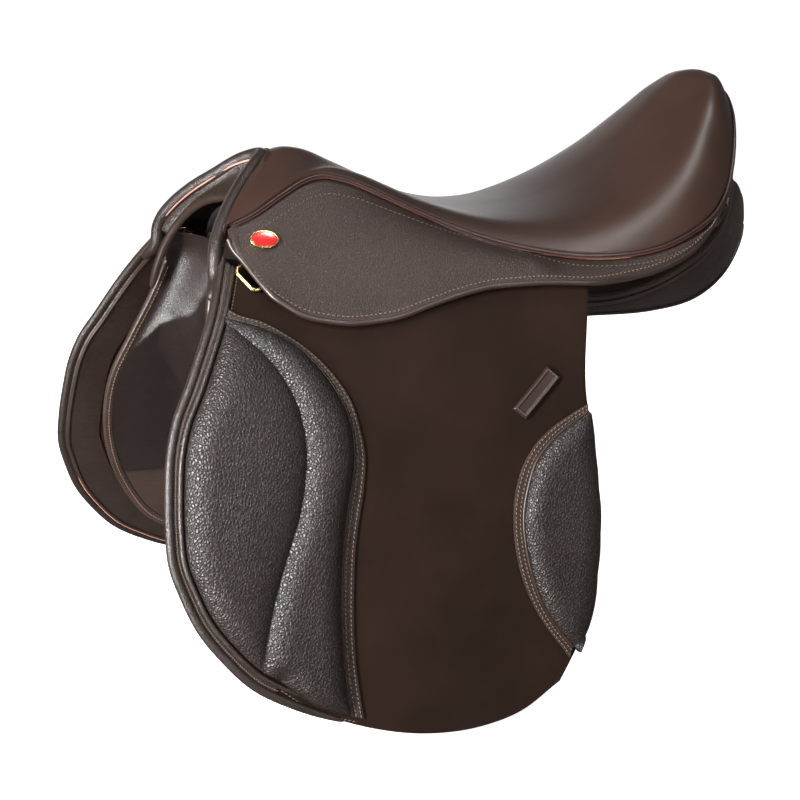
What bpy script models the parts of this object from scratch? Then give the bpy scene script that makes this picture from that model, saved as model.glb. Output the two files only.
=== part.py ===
"""An english general-purpose saddle: tree, seat, panels, flaps, skirts, stirrup bars and girth straps.

Lengths are in millimetres until add_mesh and the curve helpers turn them into metres. +X runs from
pommel to cantle, -Y is the horse's near (left) side, +Z is up. The origin is on the centre plane, at the
level on which the panels rest. The near side is drawn, and the off side is its mirror image.
"""

import math

import bmesh
import bpy
import numpy as np
from mathutils import Matrix, Vector

MM = 0.001

# Driving sizes of a 17-inch saddle. The patterns below are drawn at these grades and scaled by them.
SEAT_SIZE = 432.0        # head nail to middle of the cantle
FLAP_DROP = 354.0        # top of the flap to its lowest edge
SPREAD = 430.0           # over both flaps at their lower edge
LONG = SEAT_SIZE / 432.0
DEEP = FLAP_DROP / 354.0
WIDE = SPREAD / 430.0

# Leather, filling and wood
COVER = 2.0              # seat leather
FOAM = 14.0              # seat foam under the leather, at its middle
WEBBING = 1.0            # strained canvas under the foam
WEBBING_SAG = 0.6        # room for the canvas to give before it meets the wood
TREE = 12.0              # laminated beech rails and cantle
SPRING = 1.5             # steel strips under the rails
SKIRT = 2.6              # skirt leather
FLAP = 4.0               # flap leather
SWEAT = 3.0              # sweat flap leather
FACING = 2.0             # leather that covers pommel and cantle
FACING_DROP = 7.0        # from the seat's welt line down to the cantle's facing
GIRTH_WEB = 1.4          # linen web that ties the girth straps
POCKET = 1.6             # leather of the point pockets
WELT = 2.0               # radius of the piping round the seat
POMMEL_ROLL = 4.6        # radius of the stuffed roll round the pommel
FLAP_ROLL = 5.5          # radius of the stuffed roll down the front of a flap
ARCH_WELT = 3.4          # radius of the roll at the front of the panels
PANEL_WELT = 2.4
PAD_EDGE = 2.0           # how thick a pad is at its sewn edge
FRONT_PAD = 13.0         # how far the knee pad stands off the flap
REAR_PAD = 10.0
KNEE_BLOCK = 14.0
GAP = 0.4                # between pieces that touch
BED = 1.3                # between a curved sheet and what is sewn on it
PAD_BED = 1.8            # between the flap and the pads, which are larger than what BED serves
SEAM = 1.9               # from the front roll to the edge of the flap behind it

# Head plate, stirrup bar and catch
PLATE = 3.0
PLATE_WIDTH = 27.0
HEAD_X = -185.0 * LONG
BAR_LENGTH = 74.0
BAR_HEIGHT = 11.0
BAR_THICK = 5.0
BAR_SLOT = 8.0           # room for a stirrup leather behind the bar
BAR_FRONT = np.array([-170.5 * LONG, -102.5 * WIDE, 46.8])
BAR_TURN = math.radians(4.0)
CATCH_LENGTH = 12.0
CATCH_HEIGHT = 7.0

# Girth straps
STRAP_WIDTH = 25.0
STRAP_THICK = 4.0
STRAP_PITCH = 35.0
STRAP_LENGTH = 250.0
STRAP_STANDOFF = 4.4     # from the sweat flap to a strap
STRAP_TOP_Z = 25.0
STRAP_MIDDLE_X = -35.0 * LONG
WEB_HALF = STRAP_PITCH + 9.0   # the girth web reaches this far to each side of the middle strap
GUARD_HEIGHT = 48.0
GUARD_DROP = 165.0       # from the straps' tops to the middle of the guard
GUARD_WALL = 1.6
GUARD_CLEAR = 1.2

# Small metal and trim
DEE_WIRE = 1.75          # radius
DEE_WIDTH = 24.0
DEE_DEPTH = 15.0
CHAPE_WALL = 1.1
CHAPE_WIDTH = 11.0
CHAPE_LENGTH = 14.0
NAIL_LONG = 11.0         # half length of the head nail's oval
NAIL_HIGH = 7.5
NAIL_RISE = 3.2
KEEPER_LENGTH = 43.0
KEEPER_WIDTH = 13.0
KEEPER_RISE = 3.0
KEEPER_AT = (-14.0, -37.0)

# The line that flap and skirt bend along, on the outer face of the skirt
BEND_FRONT = np.array([-226.0 * LONG, -84.0 * WIDE, 73.0])
BEND_REAR = np.array([40.0 * LONG, -146.0 * WIDE, 42.5])
SKIRT_FRONT = -221.0 * LONG
SKIRT_REAR = -2.0 * LONG
# Only between those does the skirt move. It leaves the bend line over these lengths before and behind them
SKIRT_TIP = -228.0 * LONG
SKIRT_LOOSE = 70.0 * LONG

BROWN = (0.060, 0.036, 0.026)
DARK = (0.040, 0.025, 0.019)
STEEL = (0.55, 0.55, 0.56)
BRASS = (0.72, 0.52, 0.20)
BEECH = (0.55, 0.38, 0.22)
CANVAS = (0.62, 0.56, 0.44)
FOAM_COLOUR = (0.75, 0.70, 0.55)
RED = (0.60, 0.02, 0.02)


# ---------------------------------------------------------------- curves and surfaces

def pattern(points, down=1.0):
    """A near-side pattern line at this saddle's size. down scales the drop below the skirt."""
    return np.array([(x * LONG, y * WIDE, z * down if z < 0 else z) for x, y, z in points])


def smooth(points, count, ends=(0.0, 1.0)):
    """count points, evenly spaced, on a smooth curve through the given ones."""
    points = np.asarray(points, float)
    chord = np.linalg.norm(np.diff(points, axis=0), axis=1)
    at = np.concatenate([[0.0], np.cumsum(chord)])
    slope = np.gradient(points, at, axis=0)
    fine = np.linspace(0.0, at[-1], 60 * len(points))
    leg = np.clip(np.searchsorted(at, fine, side="right") - 1, 0, len(at) - 2)
    span = (at[leg + 1] - at[leg])[:, None]
    t = ((fine - at[leg])[:, None]) / span
    curve = (
        (2 * t**3 - 3 * t**2 + 1) * points[leg]
        + (t**3 - 2 * t**2 + t) * span * slope[leg]
        + (3 * t**2 - 2 * t**3) * points[leg + 1]
        + (t**3 - t**2) * span * slope[leg + 1]
    )
    run = np.concatenate([[0.0], np.cumsum(np.linalg.norm(np.diff(curve, axis=0), axis=1))])
    want = np.linspace(ends[0], ends[1], count) * run[-1]
    return np.stack([np.interp(want, run, curve[:, k]) for k in range(curve.shape[1])], axis=1)


def at_x(line, x):
    """The point where a line that runs along X has this x."""
    fine = smooth(line, 400)
    order = np.argsort(fine[:, 0])
    fine = fine[order]
    return np.array([x, np.interp(x, fine[:, 0], fine[:, 1]), np.interp(x, fine[:, 0], fine[:, 2])])


def normals(rows):
    """Unit normals of a grid of points, on the side that its rows and columns turn towards."""
    rows = np.asarray(rows, float)
    across = np.gradient(rows, axis=1)
    along = np.gradient(rows, axis=0)
    n = np.cross(along, across)
    return n / np.linalg.norm(n, axis=2, keepdims=True)


def blend_patch(top, bottom, front, rear):
    """A grid between four edge lines: front and rear run from top to bottom."""
    top, bottom, front, rear = (np.asarray(line, float) for line in (top, bottom, front, rear))
    rows = []
    for i, t in enumerate(np.linspace(0.0, 1.0, len(front))):
        row = []
        for j, s in enumerate(np.linspace(0.0, 1.0, len(top))):
            ruled = (1 - t) * top[j] + t * bottom[j] + (1 - s) * front[i] + s * rear[i]
            corners = (1 - t) * ((1 - s) * top[0] + s * top[-1]) + t * ((1 - s) * bottom[0] + s * bottom[-1])
            row.append(ruled - corners)
        rows.append(row)
    return np.array(rows)


# ---------------------------------------------------------------- objects

def clear_scene():
    for old in list(bpy.data.objects):
        bpy.data.objects.remove(old, do_unlink=True)


def new_collection(name):
    collection = bpy.data.collections.new(name)
    bpy.context.scene.collection.children.link(collection)
    return collection


def finish(name, colour, roughness, metallic=0.0):
    material = bpy.data.materials.new(name)
    material.use_nodes = True
    shader = material.node_tree.nodes["Principled BSDF"]
    shader.inputs["Base Color"].default_value = (*colour, 1.0)
    shader.inputs["Roughness"].default_value = roughness
    shader.inputs["Metallic"].default_value = metallic
    return material


def place(obj, look):
    """Put an object in the saddle's collection with its own material."""
    SADDLE.objects.link(obj)
    obj.data.materials.append(finish(obj.name, *look))
    return obj


def add_mesh(name, points, faces, look):
    mesh = bpy.data.meshes.new(name)
    mesh.from_pydata([tuple(p * MM) for p in np.asarray(points)], [], faces)
    mesh.update()
    mesh.shade_smooth()
    mesh.set_sharp_from_angle(angle=math.radians(40))
    return place(bpy.data.objects.new(name, mesh), look)


def grid_faces(high, wide, first=0):
    faces = []
    for i in range(high - 1):
        for j in range(wide - 1):
            a = first + i * wide + j
            faces.append((a, a + wide, a + wide + 1, a + 1))
    return faces


def sheet(name, rows, thickness, look, keep=None):
    """Leather or wood of one thickness: the outer face is the grid, and Solidify grows it inwards."""
    rows = np.asarray(rows)
    faces = grid_faces(rows.shape[0], rows.shape[1])
    if keep is not None:
        faces = [face for face, kept in zip(faces, np.asarray(keep).ravel()) if kept]
    obj = add_mesh(name, rows.reshape(-1, 3), faces, look)
    shell = obj.modifiers.new("thickness", "SOLIDIFY")
    shell.thickness = thickness * MM
    shell.offset = -1.0
    return obj


def pad(name, outer, inner, look):
    """Stuffing between two grids of the same size, closed round the edge."""
    outer, inner = np.asarray(outer), np.asarray(inner)
    high, wide = outer.shape[:2]
    count = high * wide
    faces = grid_faces(high, wide)
    faces += [face[::-1] for face in grid_faces(high, wide, count)]
    rim = [(0, j) for j in range(wide)] + [(i, wide - 1) for i in range(1, high)]
    rim += [(high - 1, j) for j in range(wide - 2, -1, -1)] + [(i, 0) for i in range(high - 2, 0, -1)]
    ring = [i * wide + j for i, j in rim]
    for a, b in zip(ring, ring[1:] + ring[:1]):
        faces.append((a, b, b + count, a + count))
    return add_mesh(name, np.concatenate([outer.reshape(-1, 3), inner.reshape(-1, 3)]), faces, look)


def loft(name, sections, look):
    """A solid through closed sections of the same number of points, with flat ends."""
    sections = np.asarray(sections)
    count, around = sections.shape[:2]
    faces = []
    for i in range(count - 1):
        for j in range(around):
            a, b = i * around + j, i * around + (j + 1) % around
            faces.append((a, b, b + around, a + around))
    faces.append(tuple(reversed(range(around))))
    faces.append(tuple(range((count - 1) * around, count * around)))
    return add_mesh(name, sections.reshape(-1, 3), faces, look)


def as_mesh(curve_object, look):
    """A curve made a mesh of its own, with its caps joined to its sides."""
    depsgraph = bpy.context.evaluated_depsgraph_get()
    depsgraph.update()
    mesh = bpy.data.meshes.new_from_object(curve_object.evaluated_get(depsgraph))
    mesh.transform(curve_object.matrix_world)
    joined = bmesh.new()
    joined.from_mesh(mesh)
    bmesh.ops.remove_doubles(joined, verts=joined.verts, dist=0.00001)
    bmesh.ops.recalc_face_normals(joined, faces=joined.faces)
    joined.to_mesh(mesh)
    joined.free()
    name = curve_object.name
    bpy.data.objects.remove(curve_object, do_unlink=True)
    solid = bpy.data.objects.new(name, mesh)
    mesh.materials.clear()
    return place(solid, look)


def tube(name, line, radius, look, closed=False, sides=2):
    """Piping, roll or wire: a curve with a round bevel and filled ends."""
    data = bpy.data.curves.new(name, "CURVE")
    data.dimensions = "3D"
    data.bevel_depth = radius * MM
    data.bevel_resolution = sides
    data.use_fill_caps = True
    spline = data.splines.new("POLY")
    spline.points.add(len(line) - 1)
    for point, target in zip(spline.points, line):
        point.co = (*(np.asarray(target) * MM), 1.0)
    spline.use_cyclic_u = closed
    return place(bpy.data.objects.new(name, data), look)


def plate(name, outlines, depth, frame, look, bevel=0.0):
    """Flat outlines, the first with the others as holes, filled and given a depth along frame's z."""
    data = bpy.data.curves.new(name, "CURVE")
    data.dimensions = "2D"
    data.fill_mode = "BOTH"
    data.extrude = depth / 2 * MM
    for outline in outlines:
        spline = data.splines.new("POLY")
        spline.points.add(len(outline) - 1)
        for point, (x, y) in zip(spline.points, outline):
            point.co = (x * MM, y * MM, 0.0, 1.0)
        spline.use_cyclic_u = True
    obj = bpy.data.objects.new(name, data)
    bpy.context.scene.collection.objects.link(obj)
    obj.matrix_world = frame
    bpy.context.view_layer.update()
    solid = as_mesh(obj, look)
    if bevel:
        edge = solid.modifiers.new("edge", "BEVEL")
        edge.width = bevel * MM
        edge.segments = 1
        edge.angle_limit = math.radians(50)
    return solid


def frame_at(origin, x_axis, y_axis):
    """A matrix with its x and y axes along these directions, made square, and its origin in metres."""
    x = Vector(x_axis).normalized()
    z = x.cross(Vector(y_axis)).normalized()
    y = z.cross(x)
    turn = Matrix((x, y, z)).transposed().to_4x4()
    return Matrix.Translation(Vector(np.asarray(origin, float) * MM)) @ turn


def hang_on(obj, point):
    """Move an object's origin to its joint, and leave its shape where it is."""
    at = Vector(np.asarray(point, float) * MM)
    obj.data.transform(Matrix.Translation(-at))
    obj.location = at
    return obj


def rounded(width, height, radius, steps=4):
    """A rectangle about the origin with round corners."""
    points = []
    for k, (cx, cy) in enumerate([(1, 1), (-1, 1), (-1, -1), (1, -1)]):
        for step in range(steps + 1):
            a = math.radians(90 * k + 90 * step / steps)
            points.append((
                cx * (width / 2 - radius) + radius * math.cos(a),
                cy * (height / 2 - radius) + radius * math.sin(a),
            ))
    return points


def mirror_near_pieces():
    """Give every near-side piece its mirror image on the off side."""
    for near in [obj for obj in SADDLE.objects if obj.name.endswith("_near")]:
        data = near.data.copy()
        data.transform(Matrix.Diagonal((1.0, -1.0, 1.0, 1.0)))
        if near.type == "MESH":
            data.flip_normals()
        name = near.name.replace("_near", "_off")
        data.name = name
        data.materials[0] = near.data.materials[0].copy()
        data.materials[0].name = name
        off = bpy.data.objects.new(name, data)
        off.location = near.location * Vector((1.0, -1.0, 1.0))
        SADDLE.objects.link(off)
        for modifier in near.modifiers:
            copy = off.modifiers.new(modifier.name, modifier.type)
            for key in ("thickness", "offset", "width", "segments", "angle_limit"):
                if hasattr(modifier, key):
                    setattr(copy, key, getattr(modifier, key))


# ---------------------------------------------------------------- pattern lines, near side

WELT_LINE = pattern([
    (-229, -70, 94), (-209, -68, 101), (-182, -60, 114), (-159, -52, 123), (-146, -50, 125),
    (-126, -52, 121), (-99, -58, 109), (-69, -66, 94), (-40, -77, 81), (-12, -92, 71),
    (15, -107, 65), (44, -120, 61), (74, -129, 61), (109, -132, 65), (139, -127, 74),
    (167, -116, 86), (184, -104, 99), (199, -88, 117), (213, -68, 141), (224, -45, 160),
    (231, -20, 172), (232, -7, 174),
])
CENTRE_LINE = pattern([
    (-169, 0, 137), (-158, 0, 139), (-144, 0, 137), (-119, 0, 126), (-84, 0, 109), (-58, 0, 97),
    (-22, 0, 87), (14, 0, 83), (45, 0, 84), (75, 0, 90), (105, 0, 102), (135, 0, 120),
    (165, 0, 146), (190, 0, 171), (208, 0, 185), (222, 0, 186), (233, 0, 176),
])
POMMEL_LINE = pattern([
    (-177, 0, 134), (-187, -16, 129), (-204, -32, 116), (-220, -50, 102), (-231, -63, 89),
    (-238, -72, 77), (-240, -76, 70),
])
ARCH_LINE = pattern([
    (-203, 0, 101), (-211, -20, 98), (-220, -40, 89), (-229, -56, 74), (-237, -66, 57), (-242, -72, 41),
    (-247, -79, 18),
])
SKIRT_EDGE = pattern([
    (-231, -75, 86), (-228, -80, 76), (-221, -90, 66), (-215, -101, 56), (-208, -112, 46),
    (-198, -119, 38), (-187, -125, 31), (-173, -129, 27), (-154, -133, 24), (-135, -134, 24),
    (-115, -135, 26), (-91, -134, 32), (-65, -133, 38), (-40, -133, 42), (-16, -136, 43),
    (16, -141, 43), (47, -147, 42), (75, -146, 43), (105, -143, 47), (135, -136, 56),
    (160, -124, 70), (180, -111, 88), (189, -102, 99),
])
FLAP_FRONT = [
    (-237, 70), (-246, 54), (-256, 36), (-268, 15), (-282, -10), (-295, -32), (-303, -55),
    (-307, -78), (-310, -106), (-310, -133), (-304, -155), (-295, -178), (-279, -202),
    (-259, -224), (-231, -242),
]
FLAP_REAR = [
    (42, 38), (34, 6), (27, -38), (28, -61), (29, -99), (29, -137), (24, -175), (15, -212), (2, -234),
    (-13, -255),
]
FLAP_BOTTOM = [(-231, -242), (-202, -256), (-176, -266), (-124, -278), (-83, -279), (-49, -273), (-13, -255)]
FLAP_TOP = [(-226, 62), (-205, 47), (-180, 37), (-150, 34), (-100, 34), (-68, 36), (-40, 39), (0, 43), (42, 38)]
FRONT_PAD_TRIM = [
    (-243, 38), (-236, 33), (-219, 27), (-199, 15), (-183, 2), (-170, -14), (-161, -31), (-157, -49),
    (-155, -70), (-159, -95), (-165, -116), (-170, -137), (-174, -165), (-177, -194), (-178, -222),
    (-177, -244), (-176, -258),
]
REAR_PAD_TRIM = [
    (27, -48), (12, -55), (-5, -64), (-19, -75), (-30, -89), (-38, -107), (-42, -129), (-42, -152),
    (-38, -175), (-31, -195), (-20, -215), (-9, -231), (-4, -239),
]
SWEAT_FRONT = [
    (-233, 44), (-246, 10), (-262, -25), (-277, -62), (-280, -105), (-272, -145), (-256, -180),
    (-236, -208),
]
SWEAT_REAR = [(22, 36), (20, -20), (18, -80), (14, -140), (2, -190), (-22, -222)]
SWEAT_BOTTOM = [(-236, -208), (-190, -234), (-140, -244), (-80, -243), (-22, -222)]
PANEL_WELT_LINE = pattern([
    (30, -114, 28), (60, -114, 22), (103, -114, 26), (143, -109, 38), (172, -102, 53), (190, -93, 67),
    (206, -78, 86), (218, -63, 101),
])

# How the flap's outer face leaves the skirt: half width at the top along x, and its share down the drop
FLAP_TOP_Z = 73.0
TOP_WIDTH = ([-260, -180, -97, 0, 58, 155], [68, 74, 86, 102, 114, 118])
BELLY = ([-0.2, 0, 0.10, 0.25, 0.47, 0.72, 1.0, 1.2], [-0.5, 0, 0.26, 0.48, 0.66, 0.82, 1.0, 1.12])
# The sweat flap is a ruled surface between these half widths at two heights
SWEAT_TOP_Z, SWEAT_LOW_Z = 40.0, -240.0
SWEAT_TOP_WIDTH = ([-280, -235, -200, -150, -100, 0, 30], [76, 86, 97, 105, 107, 108, 108])
SWEAT_LOW_WIDTH = 184.0


def drawn_z(z):
    """The height that a pattern line was drawn at: only what hangs below zero follows the flap's drop."""
    return np.where(np.asarray(z) > 0, z, np.asarray(z) / DEEP)


def flap_out(x, z):
    """Half width of the flap's outer face at a place given by this saddle's x and z."""
    top = np.interp(x / LONG, *TOP_WIDTH)
    share = np.interp((FLAP_TOP_Z - drawn_z(z)) * DEEP / FLAP_DROP, *BELLY)
    return WIDE * (top + (215.0 - top) * share)


def sweat_out(x, z):
    """Half width of the sweat flap's outer face."""
    top = np.interp(x / LONG, *SWEAT_TOP_WIDTH)
    share = (SWEAT_TOP_Z - drawn_z(z)) / (SWEAT_TOP_Z - SWEAT_LOW_Z)
    return WIDE * (top + (SWEAT_LOW_WIDTH - top) * share)


def on_face(line, width_at, count, inset=0.0, ends=(0.0, 1.0)):
    """A line drawn in x and z, scaled, set in sideways by inset and laid on a face."""
    flat = np.array([(x * LONG, z if z > 0 else z * DEEP) for x, z in line], float)
    flat = smooth(flat, count, ends)
    run = np.gradient(flat, axis=0)
    run /= np.linalg.norm(run, axis=1, keepdims=True)
    flat = flat + inset * np.stack([-run[:, 1], run[:, 0]], axis=1)
    return np.array([(x, -width_at(x, z), z) for x, z in flat])


def lay(rows, width_at):
    """The same grid in x and z, laid on a face."""
    rows = np.array(rows)
    rows[..., 1] = -np.vectorize(width_at)(rows[..., 0], rows[..., 2])
    return rows


# ---------------------------------------------------------------- seat surface

SEAT_ROWS, SEAT_COLUMNS = 22, 13


def seat_point(u, v, rim=1.0):
    """The seat's top face. u runs from pommel to cantle and v from the near to the off welt."""
    count = 400
    edge = SEAT_EDGE[int(round(u * (count - 1)))]
    middle = SEAT_MIDDLE[int(round(u * (count - 1)))]
    w = abs(v)
    round_top = np.interp(u, [0.0, 0.12, 0.3, 0.6, 1.0], [1.25, 1.6, 1.9, 2.3, 2.0])
    x = middle[0] + (edge[0] - middle[0]) * w ** np.interp(u, [0.0, 0.15, 0.8, 1.0], [1.15, 1.5, 2.0, 2.0])
    z = middle[2] + (edge[2] - middle[2]) * w**round_top
    rise = np.interp(u, [0.0, 0.1, 0.3, 0.5, 0.65, 0.8, 0.9, 1.0], [0.0, 3.0, 4.0, 4.0, 10.0, 20.0, 13.0, 3.0])
    z += rim * rise * math.sin(math.pi * w**2.6)
    return np.array([x, -edge[1] * v, z])


def seat_grid(us, vs, rim=1.0):
    """Rows from pommel to cantle, each from the near to the off side, so that the faces look up."""
    return np.array([[seat_point(u, v, rim) for v in vs] for u in us])


def build_seat():
    us = np.linspace(0.0, 1.0, SEAT_ROWS)
    vs = np.linspace(-1.0, 1.0, SEAT_COLUMNS)
    top = seat_grid(us, vs)
    sheet("seat_cover", top, COVER, (DARK, 0.36))
    under_cover = seat_grid(us, vs * 0.98) - normals(top) * (COVER + BED)
    under_cover[-1] -= np.array([COVER + BED, 0.0, 0.0])
    base = seat_grid(us, vs * 0.92, rim=0.0)
    depth = FOAM * (1 - 0.3 * vs**2)
    base[..., 2] -= depth[None, :]
    inset = np.linspace(0.0, 1.0, SEAT_ROWS)
    base[..., 0] += np.where(inset < 0.5, 3.0, -6.0)[:, None] * np.abs(inset * 2 - 1)[:, None]
    pad("seat_foam", under_cover, base, (FOAM_COLOUR, 0.9))


def tree_grid(us, vs, drop):
    rows = seat_grid(us, vs, rim=0.0)
    rows[..., 2] -= drop
    return rows


TREE_TOP = FOAM + 2 * GAP + WEBBING + WEBBING_SAG


def build_tree():
    us = np.linspace(0.05, 0.93, 20)
    vs = np.linspace(-0.80, 0.80, 9)
    keep = np.ones((len(us) - 1, len(vs) - 1), bool)
    keep[4:14, 2:6] = False
    sheet("tree", tree_grid(us, vs, TREE_TOP), TREE, (BEECH, 0.6), keep)
    us = np.linspace(0.16, 0.82, 14)
    vs = np.linspace(-0.6, 0.6, 7)
    sheet("seat_webbing", tree_grid(us, vs, FOAM + GAP), WEBBING, (CANVAS, 0.95))
    us = np.linspace(0.10, 0.84, 14)
    strip = tree_grid(us, np.array([-0.77, -0.63]), TREE_TOP)
    strip -= normals(strip) * (TREE + 2 * BED)
    sheet("spring_near", strip, SPRING, (STEEL, 0.35, 1.0))


def build_head_plate():
    """A steel arch under the head of the tree, whose legs reach down into the point pockets."""
    arch = [(-87, 34), (-82, 55), (-71, 71), (-52, 82.5), (-28, 90), (0, 94)]
    arch = [(y * WIDE, z) for y, z in arch]
    arch = arch + [(-y, z) for y, z in reversed(arch[:-1])]
    line = smooth(np.array(arch), 19)
    run = np.gradient(line, axis=0)
    run /= np.linalg.norm(run, axis=1, keepdims=True)
    side = np.stack([-run[:, 1], run[:, 0]], axis=1) * PLATE / 2
    outline = [tuple(p) for p in line + side] + [tuple(p) for p in (line - side)[::-1]]
    frame = frame_at((HEAD_X, 0, 0), (0, 1, 0), (0, 0, 1))
    plate("gullet_plate", [outline], PLATE_WIDTH, frame, (STEEL, 0.4, 1.0))


def both_sides(line):
    """A near-side line from the middle outwards, made one line from the near to the off side."""
    line = np.asarray(line)
    return np.concatenate([line[::-1], line[1:] * np.array([1.0, -1.0, 1.0])])


def build_trim():
    """The rolls and piping that edge the seat, the pommel and the panels' front."""
    off_welt = (WELT_LINE * np.array([1.0, -1.0, 1.0]))[::-1]
    whole = np.concatenate([WELT_LINE, off_welt])
    line = smooth(whole, 55, ends=(0.006, 0.994))
    out = np.array([(0.0, 0.0, -(WELT + GAP + 0.8))]) * np.ones((len(line), 1))
    push = WELT + GAP + 0.5
    flat = np.gradient(line, axis=0) * np.array([1.0, 1.0, 0.0])
    flat /= np.linalg.norm(flat, axis=1, keepdims=True)
    out += np.stack([-flat[:, 1], flat[:, 0], 0 * flat[:, 0]], axis=1) * -push
    tube("seat_welt", line + out, WELT, (DARK, 0.4), sides=1)
    roll = smooth(both_sides(POMMEL_LINE), 27)
    tube("pommel_roll", roll, POMMEL_ROLL, (DARK, 0.4))
    arch = smooth(both_sides(ARCH_LINE), 27)
    tube("gullet_welt", arch, ARCH_WELT, (DARK, 0.35), sides=1)
    upper = smooth(both_sides(POMMEL_LINE[:-1]), 25)
    lower = smooth(both_sides(ARCH_LINE[:-3]), 25)
    toward = (lower - upper) / np.linalg.norm(lower - upper, axis=1, keepdims=True)
    upper = upper + toward * (POMMEL_ROLL + FACING + GAP)
    lower = lower - toward * (ARCH_WELT + FACING + GAP)
    rows = [upper * (1 - t) + lower * t for t in (0.0, 0.5, 1.0)]
    sheet("pommel_facing", rows, FACING, (BROWN, 0.5))


def build_cantle_facing():
    """Leather over the back of the cantle, from the seat's welt down to the panels."""
    top = smooth(WELT_LINE, 400)
    start = int(np.argmin(np.abs(top[:, 0] - 176 * LONG)))
    top = smooth(top[start:], 12) + np.array([0.0, 0.0, -FACING_DROP])
    low = smooth(pattern([
        (176, -104, 70), (190, -95, 82), (205, -78, 98), (218, -58, 112), (227, -34, 120), (230, -7, 122),
    ]), 12)
    mirror = np.array([1.0, -1.0, 1.0])
    top = np.concatenate([top, top[::-1] * mirror])
    low = np.concatenate([low, low[::-1] * mirror])
    rows = np.array([top * (1 - t) + low * t for t in (0.0, 0.34, 0.67, 1.0)])
    bulge = np.array([3.0, 0.0, 0.0])
    rows[1] += bulge
    rows[2] += bulge
    sheet("cantle_facing", rows, FACING, (BROWN, 0.5))


# ---------------------------------------------------------------- skirts

def bend_at(x):
    t = (x - BEND_FRONT[0]) / (BEND_REAR[0] - BEND_FRONT[0])
    return BEND_FRONT + t * (BEND_REAR - BEND_FRONT)


def skirt_column(x):
    """Three points down the skirt's outer face: under the welt, on the bend line, and on the edge."""
    top = at_x(WELT_LINE, x) + np.array([0.0, -1.6, -(2 * WELT + np.interp(x, [120.0, 170.0], [2.6, 5.2]))])
    edge = at_x(SKIRT_EDGE, x)
    plain = (top + edge) / 2 + np.array([0.0, -1.0, 1.0])
    fixed = np.interp(x, [SKIRT_TIP, SKIRT_FRONT, SKIRT_REAR, SKIRT_LOOSE], [0.0, 1.0, 1.0, 0.0])
    fixed = fixed * fixed * (3 - 2 * fixed)
    return top, fixed * bend_at(x) + (1 - fixed) * plain, edge


def skirt_curve(x, low, high, count):
    """Points down the skirt between two places: 0 at the welt, 1 at the bend line, 2 at the edge."""
    top, middle, edge = skirt_column(x)
    upper, lower = np.linalg.norm(middle - top), np.linalg.norm(edge - middle)
    knee = upper / (upper + lower)
    points = []
    for t in np.linspace(low, high, count):
        s = t * knee if t < 1 else knee + (t - 1) * (1 - knee)
        first = (s - knee) * (s - 1) / knee
        second = s * (s - 1) / (knee * (knee - 1))
        third = s * (s - knee) / (1 - knee)
        points.append(first * top + second * middle + third * edge)
    return points


def gap_share(x, part):
    """The gap at the bend line as a share of the strip above (part 0) or below (part 1) it."""
    top, middle, edge = skirt_column(x)
    strip = (middle - top, edge - middle)[part]
    return GAP / np.linalg.norm(strip)


def build_skirts():
    step = 0.5
    front = [SKIRT_TIP, SKIRT_FRONT - step]
    middle = list(np.linspace(SKIRT_FRONT + step, SKIRT_REAR - step, 19))
    rear = list(np.linspace(SKIRT_REAR + step, 184.0 * LONG, 11))
    columns = []
    for x in front + rear:
        columns.append((x, skirt_curve(x, 0.0, 2.0, 5)))
    for x in middle:
        columns.append((x, skirt_curve(x, 0.0, 1.0 - gap_share(x, 0), 5)))
    columns.sort(key=lambda column: column[0])
    band = np.array([points for _, points in columns])
    xs = np.linspace(SKIRT_FRONT + 2 * step + GAP, SKIRT_REAR - 2 * step - GAP, 15)
    flap_skirt = np.array([skirt_curve(x, 1.0 + gap_share(x, 1), 2.0, 5) for x in xs])
    sheet("skirt_band_near", band[::-1], SKIRT, (BROWN, 0.45))
    hang_on(sheet("skirt_near", flap_skirt[::-1], SKIRT, (BROWN, 0.45)), BEND_FRONT)


# ---------------------------------------------------------------- flaps

def front_line(inset, count, ends=(0.0, 1.0)):
    """A line down the flap's front, this far inside its edge."""
    return on_face(FLAP_FRONT, flap_out, count, inset=inset, ends=ends)


def build_flaps():
    rows, columns = 17, 14
    edge = 2 * FLAP_ROLL + SEAM
    front = front_line(edge, rows, ends=(0.03, 0.975))
    top = on_face(FLAP_TOP, flap_out, columns)
    top[0] = front[0]
    rear = on_face(FLAP_REAR, flap_out, rows)
    top[-1] = rear[0]
    bottom = on_face(FLAP_BOTTOM, flap_out, columns, ends=(0.02, 1.0))
    bottom[0] = front[-1]
    grid = lay(blend_patch(top, bottom, front, rear), flap_out)
    roll = front_line(FLAP_ROLL, 27, ends=(0.012, 0.945))
    roll[:, 1] += FLAP / 2
    front_pad = pad_grid(
        front_line(edge + 3.0, 17, ends=(0.12, 0.955)), on_face(FRONT_PAD_TRIM, flap_out, 17), 8, FRONT_PAD
    )
    rear_pad = pad_grid(
        on_face(REAR_PAD_TRIM, flap_out, 13), on_face(FLAP_REAR, flap_out, 13, inset=3.0, ends=(0.30, 0.93)),
        6, REAR_PAD,
    )
    hang_on(sheet("flap_near", grid, FLAP, (BROWN, 0.6)), BEND_FRONT)
    hang_on(tube("front_roll_near", roll, FLAP_ROLL, (DARK, 0.45)), BEND_FRONT)
    hang_on(pad("front_pad_near", *front_pad, (DARK, 0.4)), BEND_FRONT)
    hang_on(pad("rear_pad_near", *rear_pad, (DARK, 0.4)), BEND_FRONT)
    build_keeper()


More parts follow.
